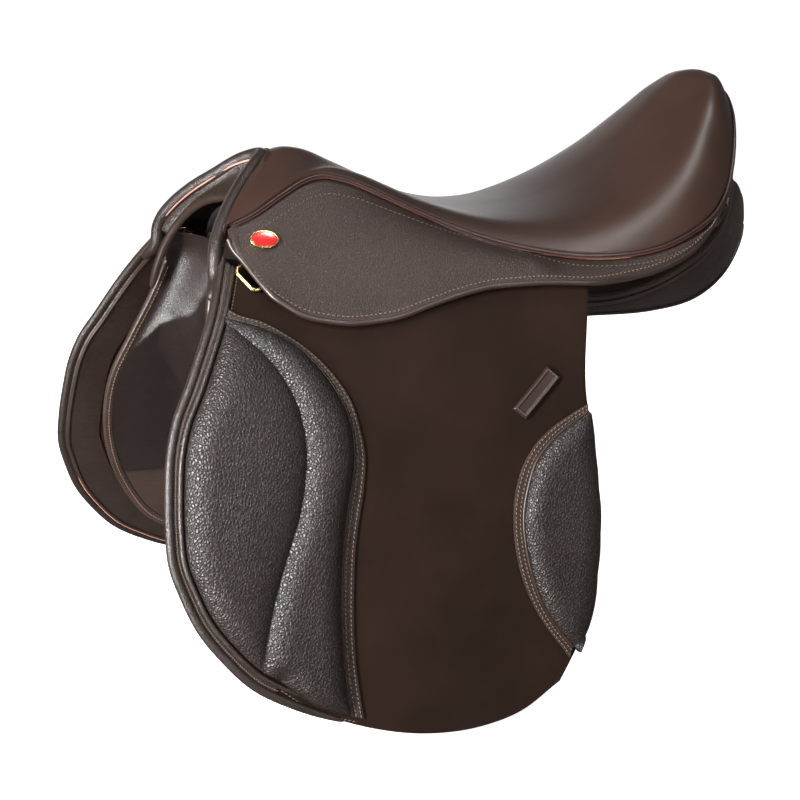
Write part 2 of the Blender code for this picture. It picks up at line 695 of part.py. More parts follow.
def pad_grid(front, rear, columns, height):
    """A stuffed pad on the flap between two lines: the outer and inner grids."""
    rows = len(front)
    inner = np.array([[front[i] * (1 - s) + rear[i] * s for s in np.linspace(0, 1, columns)]
                      for i in range(rows)])
    inner = lay(inner, flap_out)
    out = normals(inner)
    rise = np.zeros((rows, columns))
    for i, t in enumerate(np.linspace(0, 1, rows)):
        for j, s in enumerate(np.linspace(0, 1, columns)):
            rise[i, j] = PAD_EDGE + (height - PAD_EDGE) * (math.sin(math.pi * s) * math.sin(math.pi * t)) ** 0.6
    return inner + out * (rise + PAD_BED)[..., None], inner + out * PAD_BED


def build_keeper():
    """The strip on the flap that keeps the end of a stirrup leather."""
    x, z = KEEPER_AT[0] * LONG, KEEPER_AT[1] * DEEP
    along = np.array([-30.0, 0.0, -27.0])
    along /= np.linalg.norm(along)
    across = np.array([0.75, 0.0, -0.66])
    rows = []
    for s in np.linspace(-0.5, 0.5, 7):
        row = []
        for t in np.linspace(-0.5, 0.5, 3):
            p = np.array([x, 0.0, z]) + along * s * KEEPER_LENGTH + across * t * KEEPER_WIDTH
            row.append(p)
        rows.append(row)
    inner = lay(rows, flap_out)
    out = normals(inner)
    outer = inner + out * (KEEPER_RISE + BED)
    base = inner + out * BED
    hang_on(pad("keeper_near", outer, base, (BROWN, 0.5)), BEND_FRONT)


# ---------------------------------------------------------------- sweat flaps, panels and blocks

def build_sweat_flaps():
    rows, columns = 15, 13
    top = on_face([(-233, 44), (-200, 40), (-100, 38), (22, 36)], sweat_out, columns)
    bottom = on_face(SWEAT_BOTTOM, sweat_out, columns)
    front = on_face(SWEAT_FRONT, sweat_out, rows)
    rear = on_face(SWEAT_REAR, sweat_out, rows)
    grid = lay(blend_patch(top, bottom, front, rear), sweat_out)
    block_front = on_face([(-240, -4), (-256, -40), (-264, -80), (-260, -120), (-248, -150)], sweat_out, 9)
    block_rear = on_face([(-206, -4), (-206, -40), (-208, -80), (-212, -120), (-222, -150)], sweat_out, 9)
    base = np.array([block_front * (1 - s) + block_rear * s for s in np.linspace(0, 1, 6)])
    base = lay(np.swapaxes(base, 0, 1), sweat_out)
    out = normals(base)
    s = np.linspace(0, 1, 6)
    t = np.linspace(0, 1, 9)
    swell = (np.sin(math.pi * s)[None, :] * np.sin(math.pi * t)[:, None]) ** 0.5
    block = base + out * (PAD_EDGE + (KNEE_BLOCK - PAD_EDGE) * swell + BED)[..., None]
    sheet("sweat_flap_near", grid, SWEAT, (BROWN, 0.5))
    pad("knee_block_near", block, base + out * BED, (DARK, 0.5))


# x, then inner top, outer top, outer bottom and inner bottom of the panel as (half width, z)
PANEL_STATIONS = [
    (-226, (54, 72), (62, 70), (82, 8), (74, 4)),
    (-205, (44, 66), (68, 66), (98, -22), (84, -28)),
    (-180, (40, 60), (73, 63), (108, -38), (92, -46)),
    (-130, (38, 50), (80, 52), (114, -36), (90, -44)),
    (-70, (36, 38), (86, 44), (112, -16), (76, -26)),
    (0, (35, 28), (92, 38), (104, 2), (56, -8)),
    (60, (35, 30), (98, 34), (106, 3), (48, -5)),
    (120, (36, 50), (104, 42), (106, 1), (44, -3)),
    (170, (36, 82), (95, 64), (97, 5), (44, 4)),
    (205, (34, 96), (78, 86), (82, 20), (40, 20)),
    (228, (34, 100), (60, 96), (66, 42), (40, 42)),
    (237, (38, 88), (52, 86), (56, 58), (42, 58)),
]
PANEL_AROUND = 16
PANEL_SECTIONS = 19


def panel_section(values):
    """A soft-cornered section through the panel, from its four corners."""
    x, corners = values[0], np.array(values[1:]).reshape(4, 2)
    points = []
    for k in range(PANEL_AROUND):
        a = 2 * math.pi * k / PANEL_AROUND
        s = math.copysign(abs(math.cos(a)) ** 0.62, math.cos(a)) / 2 + 0.5
        t = math.copysign(abs(math.sin(a)) ** 0.62, math.sin(a)) / 2 + 0.5
        upper = corners[0] * (1 - s) + corners[1] * s
        lower = corners[3] * (1 - s) + corners[2] * s
        y, z = lower * (1 - t) + upper * t
        points.append((x, -y * WIDE, z))
    return points


def build_panels():
    table = np.array([[x * LONG] + [v for corner in corners for v in corner]
                      for x, *corners in PANEL_STATIONS], float)
    sections = np.array([panel_section(row) for row in smooth(table, PANEL_SECTIONS)])
    loft("panel_near", sections[:, ::-1], (DARK, 0.4))
    tube("panel_welt_near", smooth(PANEL_WELT_LINE, 16), PANEL_WELT, (DARK, 0.35), sides=1)


def build_pocket():
    """The leather pocket on the panel that takes the end of the tree's point."""
    rows = []
    for z in np.linspace(50, 18, 4):
        row = []
        for x in np.linspace(-204, -174, 4):
            width = np.interp(z, [18, 50], [95.8, 90.4]) * WIDE
            row.append((x * LONG, -width, z))
        rows.append(row)
    sheet("point_pocket_near", rows, POCKET, (BROWN, 0.6))


# ---------------------------------------------------------------- stirrup bars

def build_bars():
    """A forged hairpin: a plate on the tree, a bend at the front and the bar, open at the rear."""
    back = BAR_SLOT + BAR_THICK
    outline = [
        (0, 0), (BAR_LENGTH, 0), (BAR_LENGTH, BAR_THICK), (BAR_THICK, BAR_THICK), (BAR_THICK, back),
        (BAR_LENGTH + 4, back), (BAR_LENGTH + 4, back + PLATE), (0, back + PLATE),
    ]
    along = (math.cos(BAR_TURN), -math.sin(BAR_TURN), 0.0)
    frame = frame_at(BAR_FRONT, along, (0.0, 1.0, 0.0))
    plate("stirrup_bar_near", [outline], BAR_HEIGHT, frame, (STEEL, 0.4, 1.0), bevel=0.8)


def build_catch():
    """The thumb catch turns on the middle line of the bar, just behind its open end."""
    reach = BAR_LENGTH + CATCH_HEIGHT / 2 + GAP
    hinge = BAR_FRONT + np.array([
        reach * math.cos(BAR_TURN), -reach * math.sin(BAR_TURN) + BAR_THICK / 2, 0.0,
    ])
    half = CATCH_HEIGHT / 2
    outline = [(half * math.cos(a), half * math.sin(a)) for a in np.radians(np.linspace(90, 270, 9))]
    outline += [(CATCH_LENGTH - 3, -half), (CATCH_LENGTH, -1.5), (CATCH_LENGTH, 1.5), (CATCH_LENGTH - 3, half)]
    frame = frame_at(hinge, (math.cos(BAR_TURN), -math.sin(BAR_TURN), 0.0), (0.0, 0.0, 1.0))
    hang_on(plate("bar_catch_near", [outline], BAR_THICK - 1.0, frame, (STEEL, 0.35, 1.0)), hinge)


# ---------------------------------------------------------------- girth straps

def strap_frame(x):
    """Origin at a strap's hinge, x forward-to-rear, y up the strap, z out of its face."""
    top = sweat_out(x, STRAP_TOP_Z)
    fall = (sweat_out(x, STRAP_TOP_Z - 200) - top) / 200
    up = Vector((0, fall, 1)).normalized()
    out = Vector((0, -1, fall)).normalized()
    centre = Vector((x, -top, STRAP_TOP_Z)) + out * (STRAP_STANDOFF + STRAP_THICK / 2)
    return centre, up, out


def build_straps():
    half = STRAP_WIDTH / 2
    arch = [(half * math.cos(a), half * math.sin(a)) for a in np.radians(np.linspace(0, 180, 9))]
    tip = [(-half, 8 - STRAP_LENGTH), (-half + 5, -STRAP_LENGTH), (half - 5, -STRAP_LENGTH)]
    outline = arch + tip + [(half, 8 - STRAP_LENGTH)]
    for name, step in (("front", -1), ("middle", 0), ("rear", 1)):
        centre, up, _ = strap_frame(STRAP_MIDDLE_X + step * STRAP_PITCH)
        frame = frame_at(centre, (1, 0, 0), up)
        strap = plate(f"girth_strap_{name}_near", [outline], STRAP_THICK, frame, (BROWN, 0.55))
        hang_on(strap, centre)


def build_guard():
    """A leather sleeve round the three straps that keeps the buckles off the flap."""
    centre, up, out = strap_frame(STRAP_MIDDLE_X)
    wide = 2 * STRAP_PITCH + STRAP_WIDTH + 2 * GUARD_CLEAR
    deep = STRAP_THICK + 2 * GUARD_CLEAR
    outer = rounded(wide + 2 * GUARD_WALL, deep + 2 * GUARD_WALL, 2.5, 2)
    inner = rounded(wide, deep, 0.9, 2)
    at = centre - up * GUARD_DROP
    frame = frame_at(at, (1, 0, 0), out)
    hang_on(plate("buckle_guard_near", [outer, inner], GUARD_HEIGHT, frame, (BROWN, 0.6)), at)


def build_web():
    """The web that ties the straps to the tree, behind their tops."""
    rows = []
    behind = STRAP_STANDOFF - 2 * GAP - GIRTH_WEB
    for lift, away in ((34.0, -8.4), (17.0, 1.2), (4.0, 1.5)):
        row = []
        for x in np.linspace(STRAP_MIDDLE_X - WEB_HALF, STRAP_MIDDLE_X + WEB_HALF, 5):
            z = STRAP_TOP_Z + lift
            row.append((x, -(sweat_out(x, z) + behind + away), z))
        rows.append(row)
    sheet("girth_web_near", rows, GIRTH_WEB, (CANVAS, 0.9))


# ---------------------------------------------------------------- head nails and dees

def build_nails():
    """An enamelled oval nail head that pins the front of the skirt."""
    x = -203.0 * LONG
    before, at, after = (np.array(skirt_curve(x + step, 0.0, 1.0, 9)) for step in (-4.0, 0.0, 4.0))
    along = after[5] - before[5]
    down = at[6] - at[4]
    out = np.cross(down, along)
    out /= np.linalg.norm(out)
    centre = at[5] + out * (NAIL_RISE / 2 + BED)
    frame = frame_at(centre, along, -down)
    outline = [
        (NAIL_LONG * math.cos(a), NAIL_HIGH * math.sin(a)) for a in np.radians(np.arange(0, 360, 20))
    ]
    plate("skirt_nail_near", [outline], NAIL_RISE, frame, (RED, 0.3, 0.2), bevel=0.9)


def dee_frame():
    """The dee's straight side lies just under the skirt's front edge, on the flap's outer face."""
    upper = np.array([-217.0 * LONG, 0.0, 66.5])
    lower = np.array([-203.0 * LONG, 0.0, 47.5])
    away = DEE_WIRE + BED
    for point in (upper, lower):
        point[1] = -(flap_out(point[0], point[2]) + away)
    along = (lower - upper) / np.linalg.norm(lower - upper)
    middle = (upper + lower) / 2
    front = np.array([middle[0] - 12.0, 0.0, middle[2] - 9.0])
    front[1] = -(flap_out(front[0], front[2]) + away)
    forward = front - middle
    forward -= along * np.dot(forward, along)
    return middle, along, forward / np.linalg.norm(forward)


def build_dees():
    half = DEE_WIDTH / 2
    bend = 5.0
    loop = [(-half + bend, 0.0), (half - bend, 0.0)]
    for centre_x, centre_y, start, end in (
        (half - bend, bend, -90, 0), (half - bend, DEE_DEPTH - bend, 0, 90),
        (-half + bend, DEE_DEPTH - bend, 90, 180), (-half + bend, bend, 180, 270),
    ):
        for a in np.radians(np.linspace(start, end, 5)):
            loop.append((centre_x + bend * math.cos(a), centre_y + bend * math.sin(a)))
    loop = loop[2:]
    middle, along, forward = dee_frame()
    line = [middle + along * a + forward * b for a, b in loop]
    hang_on(tube("dee_near", line, DEE_WIRE, (BRASS, 0.25, 1.0), closed=True, sides=1), middle)
    hole = DEE_WIRE + 0.6
    wrap = hole + CHAPE_WALL
    ring = [(wrap * math.cos(a), wrap * math.sin(a)) for a in np.radians(np.arange(20, 341, 20))]
    outline = ring + [(CHAPE_LENGTH, ring[-1][1]), (CHAPE_LENGTH, ring[0][1])]
    inner = [(hole * math.cos(a), hole * math.sin(a)) for a in np.radians(np.arange(0, 360, 30))]
    frame = frame_at(middle, -forward, np.cross(along, forward))
    hang_on(plate("dee_chape_near", [outline, inner], CHAPE_WIDTH, frame, (BROWN, 0.5)), BEND_FRONT)


def main():
    global SADDLE, SEAT_EDGE, SEAT_MIDDLE
    clear_scene()
    SADDLE = new_collection("english_saddle")
    SEAT_EDGE = smooth(WELT_LINE, 400)
    SEAT_MIDDLE = smooth(CENTRE_LINE, 400)
    build_seat()
    build_tree()
    build_head_plate()
    build_trim()
    build_cantle_facing()
    build_skirts()
    build_flaps()
    build_sweat_flaps()
    build_panels()
    build_pocket()
    build_bars()
    build_catch()
    build_straps()
    build_guard()
    build_web()
    build_nails()
    build_dees()
    mirror_near_pieces()


main()
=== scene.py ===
# %% [markdown]
# # An english saddle, piece by piece
# The CAD model gives the size, the joints and the place of each piece. This script dresses it as the real
# thing: leather that is stretched, stuffed, rolled and stitched. Each step tells what a piece is on a real
# saddle, how it could be made, and why this way was chosen.

# %% Load the frame
import math

import bpy
import numpy as np
from mathutils import Matrix, Vector


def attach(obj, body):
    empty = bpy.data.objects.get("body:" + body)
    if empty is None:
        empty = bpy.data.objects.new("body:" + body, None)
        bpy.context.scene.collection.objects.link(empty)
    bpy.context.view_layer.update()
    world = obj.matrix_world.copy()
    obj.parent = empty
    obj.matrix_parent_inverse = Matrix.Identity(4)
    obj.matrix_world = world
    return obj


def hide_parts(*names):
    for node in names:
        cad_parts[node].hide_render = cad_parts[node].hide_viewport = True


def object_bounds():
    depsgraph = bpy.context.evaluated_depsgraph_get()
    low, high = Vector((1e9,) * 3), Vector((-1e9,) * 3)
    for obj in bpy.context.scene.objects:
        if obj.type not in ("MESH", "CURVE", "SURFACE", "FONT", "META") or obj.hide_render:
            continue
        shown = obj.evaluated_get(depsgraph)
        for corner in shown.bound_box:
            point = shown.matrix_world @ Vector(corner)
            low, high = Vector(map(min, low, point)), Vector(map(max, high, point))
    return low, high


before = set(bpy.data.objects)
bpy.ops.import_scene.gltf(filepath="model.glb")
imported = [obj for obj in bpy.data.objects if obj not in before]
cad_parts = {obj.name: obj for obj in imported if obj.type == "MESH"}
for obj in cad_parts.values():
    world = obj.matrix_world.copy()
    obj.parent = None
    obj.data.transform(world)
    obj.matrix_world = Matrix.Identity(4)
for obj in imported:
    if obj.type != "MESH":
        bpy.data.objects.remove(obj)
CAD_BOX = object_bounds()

bpy.ops.object.select_all(action="DESELECT")

# %% [markdown]
# Leather is cut from paper patterns, so the piece lines are lists of points in millimetres, and one smooth
# curve runs through each list. A Hermite spline keeps every point that was chosen, which a Bezier fit
# wouldn't, and even spacing along it makes even faces later.

# %% Curves
MM = 0.001
OTHER_SIDE = np.array([1.0, -1.0, 1.0])      # times a near-side point gives its twin on the off side


def smooth(points, count, ends=(0.0, 1.0)):
    """count points, evenly spaced, on a smooth curve through the given ones."""
    points = np.asarray(points, float)
    chord = np.linalg.norm(np.diff(points, axis=0), axis=1)
    at = np.concatenate([[0.0], np.cumsum(chord)])
    slope = np.gradient(points, at, axis=0)
    fine = np.linspace(0.0, at[-1], 60 * len(points))
    leg = np.clip(np.searchsorted(at, fine, side="right") - 1, 0, len(at) - 2)
    span = (at[leg + 1] - at[leg])[:, None]
    t = ((fine - at[leg])[:, None]) / span
    curve = (
        (2 * t**3 - 3 * t**2 + 1) * points[leg] + (t**3 - 2 * t**2 + t) * span * slope[leg]
        + (3 * t**2 - 2 * t**3) * points[leg + 1] + (t**3 - t**2) * span * slope[leg + 1]
    )
    run = np.concatenate([[0.0], np.cumsum(np.linalg.norm(np.diff(curve, axis=0), axis=1))])
    want = np.linspace(ends[0], ends[1], count) * run[-1]
    return np.stack([np.interp(want, run, curve[:, k]) for k in range(curve.shape[1])], axis=1)


def ramp(*pairs):
    """A smooth function of one number through these (place, value) pairs."""
    at, value = np.array(pairs, float).T
    slope = np.gradient(value, at)

    def curve(x):
        x = np.clip(x, at[0], at[-1])
        leg = np.clip(np.searchsorted(at, x, side="right") - 1, 0, len(at) - 2)
        span = at[leg + 1] - at[leg]
        t = (x - at[leg]) / span
        return (
            (2 * t**3 - 3 * t**2 + 1) * value[leg] + (t**3 - 2 * t**2 + t) * span * slope[leg]
            + (3 * t**2 - 2 * t**3) * value[leg + 1] + (t**3 - t**2) * span * slope[leg + 1]
        )

    return curve


def unit(v):
    v = np.asarray(v, float)
    return v / np.maximum(np.linalg.norm(v, axis=-1, keepdims=True), 1e-12)


def at_x(line, x):
    """Points of a line that runs along X, at these x."""
    fine = smooth(line, 900)
    fine = fine[np.argsort(fine[:, 0], kind="stable")]
    x = np.asarray(x, float)
    return np.stack([x, np.interp(x, fine[:, 0], fine[:, 1]), np.interp(x, fine[:, 0], fine[:, 2])], axis=-1)


def from_line(points, line):
    """How far each (x, z) point is from a line in x and z: positive on the line's left."""
    fine = smooth(line, 260)
    flat = points.reshape(-1, 2)
    gap = flat[:, None] - fine[None]
    near = (gap**2).sum(axis=2).argmin(axis=1)
    run = np.gradient(fine, axis=0)[near]
    side = flat - fine[near]
    turn = np.sign(run[:, 0] * side[:, 1] - run[:, 1] * side[:, 0])
    return (np.linalg.norm(side, axis=1) * turn).reshape(points.shape[:-1])


def shoulder(distance, radius):
    """0 at an edge, rising over this radius in a round shoulder to 1."""
    t = np.clip(distance / radius, 0.0, 1.0)
    return np.sqrt(1 - (1 - t) ** 2)


print("a curve of 5 places", smooth([(0, 0), (3, 4), (9, 4)], 5).round(1).tolist())

# %% [markdown]
# A flat piece of leather is one grid of points with a thickness. Blender's grid primitive has the right
# faces and a UV map already, so its corners are moved to the pattern, Solidify gives the thickness, and a
# small bevel rounds the cut edge so that it catches the light.

# %% Leather sheets
PIECES = {}      # every new piece by name, with what its twin on the off side needs


def finished(obj, look, body, slot, stands_for=()):
    """A finished piece gets its material and body, and is noted in PIECES with its slot."""
    obj.data.materials.clear()
    obj.data.materials.append(look)
    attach(obj, body)
    if stands_for:
        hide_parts(*stands_for)
    PIECES[obj.name] = (obj, look, body, slot, tuple(stands_for))
    return obj


def pick(obj):
    """Selects this object alone, as a click on it does."""
    bpy.ops.object.select_all(action="DESELECT")
    obj.select_set(True)
    bpy.context.view_layer.objects.active = obj


def apply_all(obj):
    pick(obj)
    for modifier in list(obj.modifiers):
        bpy.ops.object.modifier_apply(modifier=modifier.name)
    obj.select_set(False)


def grid(name, rows):
    """A grid primitive whose corners are moved to these points, in millimetres."""
    rows = np.asarray(rows, float)[:, ::-1]
    high, wide = rows.shape[:2]
    bpy.ops.mesh.primitive_grid_add(x_subdivisions=wide - 1, y_subdivisions=high - 1, size=1.0)
    obj = bpy.context.object
    obj.name = obj.data.name = name
    obj.data.vertices.foreach_set("co", (rows * MM).reshape(-1).astype(np.float32))
    obj.data.update()
    obj.data.shade_smooth()
    obj.select_set(False)
    return obj


def sheet(name, rows, thickness, look, body, slot, stands_for=(), edge=0.5):
    """Leather of one thickness. Its outer face is the grid, on the side that faces away from the horse."""
    obj = grid(name, rows)
    shell = obj.modifiers.new("thickness", "SOLIDIFY")
    shell.thickness, shell.offset = thickness * MM, -1.0
    shell.use_quality_normals = True
    if edge:
        bevel = obj.modifiers.new("edge", "BEVEL")
        bevel.width, bevel.segments, bevel.limit_method = edge * MM, 2, "ANGLE"
        bevel.angle_limit = math.radians(50)
    apply_all(obj)
    pick(obj)
    bpy.ops.object.shade_smooth_by_angle(angle=math.radians(38))
    obj.select_set(False)
    return finished(obj, look, body, slot, stands_for)


def tidy_mesh(obj, angle=50):
    """Doubles merged, normals outwards, smooth shading up to an angle."""
    pick(obj)
    bpy.ops.object.mode_set(mode="EDIT")
    bpy.ops.mesh.select_all(action="SELECT")
    bpy.ops.mesh.remove_doubles(threshold=0.00001)
    bpy.ops.mesh.normals_make_consistent(inside=False)
    bpy.ops.mesh.select_all(action="DESELECT")
    bpy.ops.object.mode_set(mode="OBJECT")
    bpy.ops.object.shade_smooth_by_angle(angle=math.radians(angle))
    obj.select_set(False)


print("leather is shaded smooth across bends of less than 38 degrees")

# %% [markdown]
# Stuffed leather has two faces that meet at a seam. Both are grids of points, so they're joined round the edge
# in mesh code, which keeps the rows even: a cube blown up by cloth would lose the sewn channels. How full each
# one is stuffed is noted.

# %% Stuffed leather
SOFT = {}


def mesh_piece(name, points, faces, angle=50):
    """A new object of these faces and points, in millimetres."""
    mesh = bpy.data.meshes.new(name)
    mesh.from_pydata([tuple(p * MM) for p in points], [], faces)
    obj = bpy.data.objects.new(name, mesh)
    bpy.context.scene.collection.objects.link(obj)
    tidy_mesh(obj, angle)
    return obj


def pad(name, outer, inner, look, body, slot, stands_for=(), fill=0.8):
    """Stuffed leather: two grids of points joined round their edge."""
    outer, inner = np.asarray(outer, float), np.asarray(inner, float)
    high, wide = outer.shape[:2]
    count = high * wide
    faces = []
    for i in range(high - 1):
        for j in range(wide - 1):
            a = i * wide + j
            faces.append((a, a + wide, a + wide + 1, a + 1))
    faces += [tuple(v + count for v in face[::-1]) for face in faces]
    rim = [(0, j) for j in range(wide)] + [(i, wide - 1) for i in range(1, high)]
    rim += [(high - 1, j) for j in range(wide - 2, -1, -1)] + [(i, 0) for i in range(high - 2, 0, -1)]
    ring = [i * wide + j for i, j in rim]
    faces += [(a, b, b + count, a + count) for a, b in zip(ring, ring[1:] + ring[:1])]
    obj = mesh_piece(name, np.concatenate([outer.reshape(-1, 3), inner.reshape(-1, 3)]), faces)
    finished(obj, look, body, slot, stands_for)
    if fill:
        SOFT[name] = fill
    return obj


# %% [markdown]
# Piping and rolls are a strip of leather folded round a cord or stuffing. A curve with a round bevel is the
# quickest way, and its radius can shrink at the ends, where the real roll is tucked under and sewn down.

# %% Rolls
ROLL_TIP = 0.25      # a tucked end's radius, as a share of the roll's


def roll(name, line, radius, look, body, slot, stands_for=(), taper=3, sides=4, closed=False, end=None):
    """A tube along a line. It thins over its first taper points and its last end points."""
    data = bpy.data.curves.new(name, "CURVE")
    data.dimensions, data.use_fill_caps = "3D", True
    data.bevel_depth, data.bevel_resolution = radius * MM, sides
    spline = data.splines.new("POLY")
    spline.points.add(len(line) - 1)
    last = len(line) - 1
    end = taper if end is None else end
    for k, (point, target) in enumerate(zip(spline.points, line)):
        point.co = (*(np.asarray(target) * MM), 1.0)
        if not closed:
            thin = min(shoulder(k, taper) if taper else 1.0, shoulder(last - k, end) if end else 1.0)
            point.radius = float(ROLL_TIP + (1 - ROLL_TIP) * thin)
    spline.use_cyclic_u = closed
    obj = bpy.data.objects.new(name, data)
    bpy.context.scene.collection.objects.link(obj)
    pick(obj)
    bpy.ops.object.convert(target="MESH")
    obj = bpy.context.object
    tidy_mesh(obj)
    return finished(obj, look, body, slot, stands_for)


# %% [markdown]
# Hand and machine stitches are separate short threads that lie in the surface at a slant. One stitch is a
# six-sided capsule of 20 faces, copied along the seam, so thousands of them stay light.

# %% Stitches
STITCH_PITCH, STITCH_LENGTH, STITCH_RADIUS = 3.3, 2.5, 0.36
STITCH_LIFT, STITCH_SLANT = 0.12, 0.16      # how proud the thread lies, and how far it turns from the seam
CAPSULE = ((-1.0, 0.35, -0.5), (-0.62, 1.0, 0.0), (0.62, 1.0, 0.0), (1.0, 0.35, -0.5))     # reach, size, sink


def stitches(name, line, outs, look, body, slot, pitch=STITCH_PITCH, length=STITCH_LENGTH, thick=STITCH_RADIUS):
    """A row of stitches along a line, lying on the face that outs point away from."""
    line, outs = np.asarray(line, float), unit(outs)
    run = np.concatenate([[0.0], np.cumsum(np.linalg.norm(np.diff(line, axis=0), axis=1))])
    count = max(2, int(run[-1] / pitch))
    want = (np.arange(count) + 0.5) * run[-1] / count
    at = np.stack([np.interp(want, run, line[:, k]) for k in range(3)], axis=1)
    out = unit(np.stack([np.interp(want, run, outs[:, k]) for k in range(3)], axis=1))
    slope = np.gradient(line, run, axis=0)
    way = unit(np.stack([np.interp(want, run, slope[:, k]) for k in range(3)], axis=1))
    side = unit(np.cross(out, way))
    way = unit(way + side * STITCH_SLANT)
    side = unit(np.cross(out, way))
    points, faces = [], []
    ring = [(math.cos(a), math.sin(a)) for a in np.radians(np.arange(0, 360, 60))]
    for c, w, s, o in zip(at, way, side, out):
        first = len(points)
        for reach, size, sink in CAPSULE:
            centre = c + w * reach * length / 2 + o * (STITCH_LIFT + sink * thick)
            points += [centre + (s * x * 1.15 + o * y) * size * thick for x, y in ring]
        for k in range(3):
            a = first + 6 * k
            faces += [(a + i, a + (i + 1) % 6, a + 6 + (i + 1) % 6, a + 6 + i) for i in range(6)]
        faces += [tuple(range(first, first + 6)), tuple(range(first + 18, first + 24))]
    return finished(mesh_piece(name, points, faces, 60), look, body, slot)


print("a stitch every", STITCH_PITCH, "mm,", STITCH_LENGTH, "mm long")


# %% [markdown]
# The near and off sides are cut from the same patterns, one of them turned over. So the near side is drawn
# and its finished meshes are mirrored. A mirror turns a mesh inside out, so the faces are turned back.

# %% The off side
def mirror_all():
    """Every near-side piece gets its twin."""
    for name, (obj, look, body, slot, stands_for) in list(PIECES.items()):
        if not name.endswith("_near"):
            continue
        mesh = obj.data.copy()
        co = np.zeros(len(mesh.vertices) * 3, np.float32)
        mesh.vertices.foreach_get("co", co)
        co = co.reshape(-1, 3)
        co[:, 1] *= -1
        mesh.vertices.foreach_set("co", co.reshape(-1))
        mesh.flip_normals()
        twin = bpy.data.objects.new(name.replace("_near", "_off"), mesh)
        mesh.name = twin.name
        bpy.context.scene.collection.objects.link(twin)
        finished(twin, look, body.replace("near", "off"), slot,
                 [node.replace("near", "off") for node in stands_for])
        name in SOFT


# %% [markdown]
# A shader is maths on every point of a surface. Written as nodes by hand it hides what it does, so a small
# class wraps a socket and lets Python write the maths: mask * 0.5 + 0.2 adds two Math nodes.

# %% Shader maths
class Value:
    """A node's output that Python can reckon with."""

    def __init__(self, tree, socket):
        self.tree, self.socket = tree, socket

    def maths(self, operation, *others, flip=False):
        operands = [self, *others]
        if flip:
            operands = [others[0], self]
        node = self.tree.nodes.new("ShaderNodeMath")
        node.operation = operation
        for k, operand in enumerate(operands):
            if isinstance(operand, Value):
                self.tree.links.new(operand.socket, node.inputs[k])
            else:
                node.inputs[k].default_value = float(operand)
        return Value(self.tree, node.outputs[0])

    def __add__(self, other): return self.maths("ADD", other)
    def __radd__(self, other): return self.maths("ADD", other)
    def __sub__(self, other): return self.maths("SUBTRACT", other)
    def __rsub__(self, other): return self.maths("SUBTRACT", other, flip=True)
    def __mul__(self, other): return self.maths("MULTIPLY", other)
    def __rmul__(self, other): return self.maths("MULTIPLY", other)
    def __pow__(self, other): return self.maths("POWER", other)

    def between(self, low, high, new_low=0.0, new_high=1.0):
        """This value eased from new_low to new_high as it goes from low to high."""
        node = self.tree.nodes.new("ShaderNodeMapRange")
        node.interpolation_type = "SMOOTHSTEP"
        self.tree.links.new(self.socket, node.inputs["Value"])
        for key, number in (("From Min", low), ("From Max", high), ("To Min", new_low), ("To Max", new_high)):
            node.inputs[key].default_value = number
        return Value(self.tree, node.outputs["Result"])


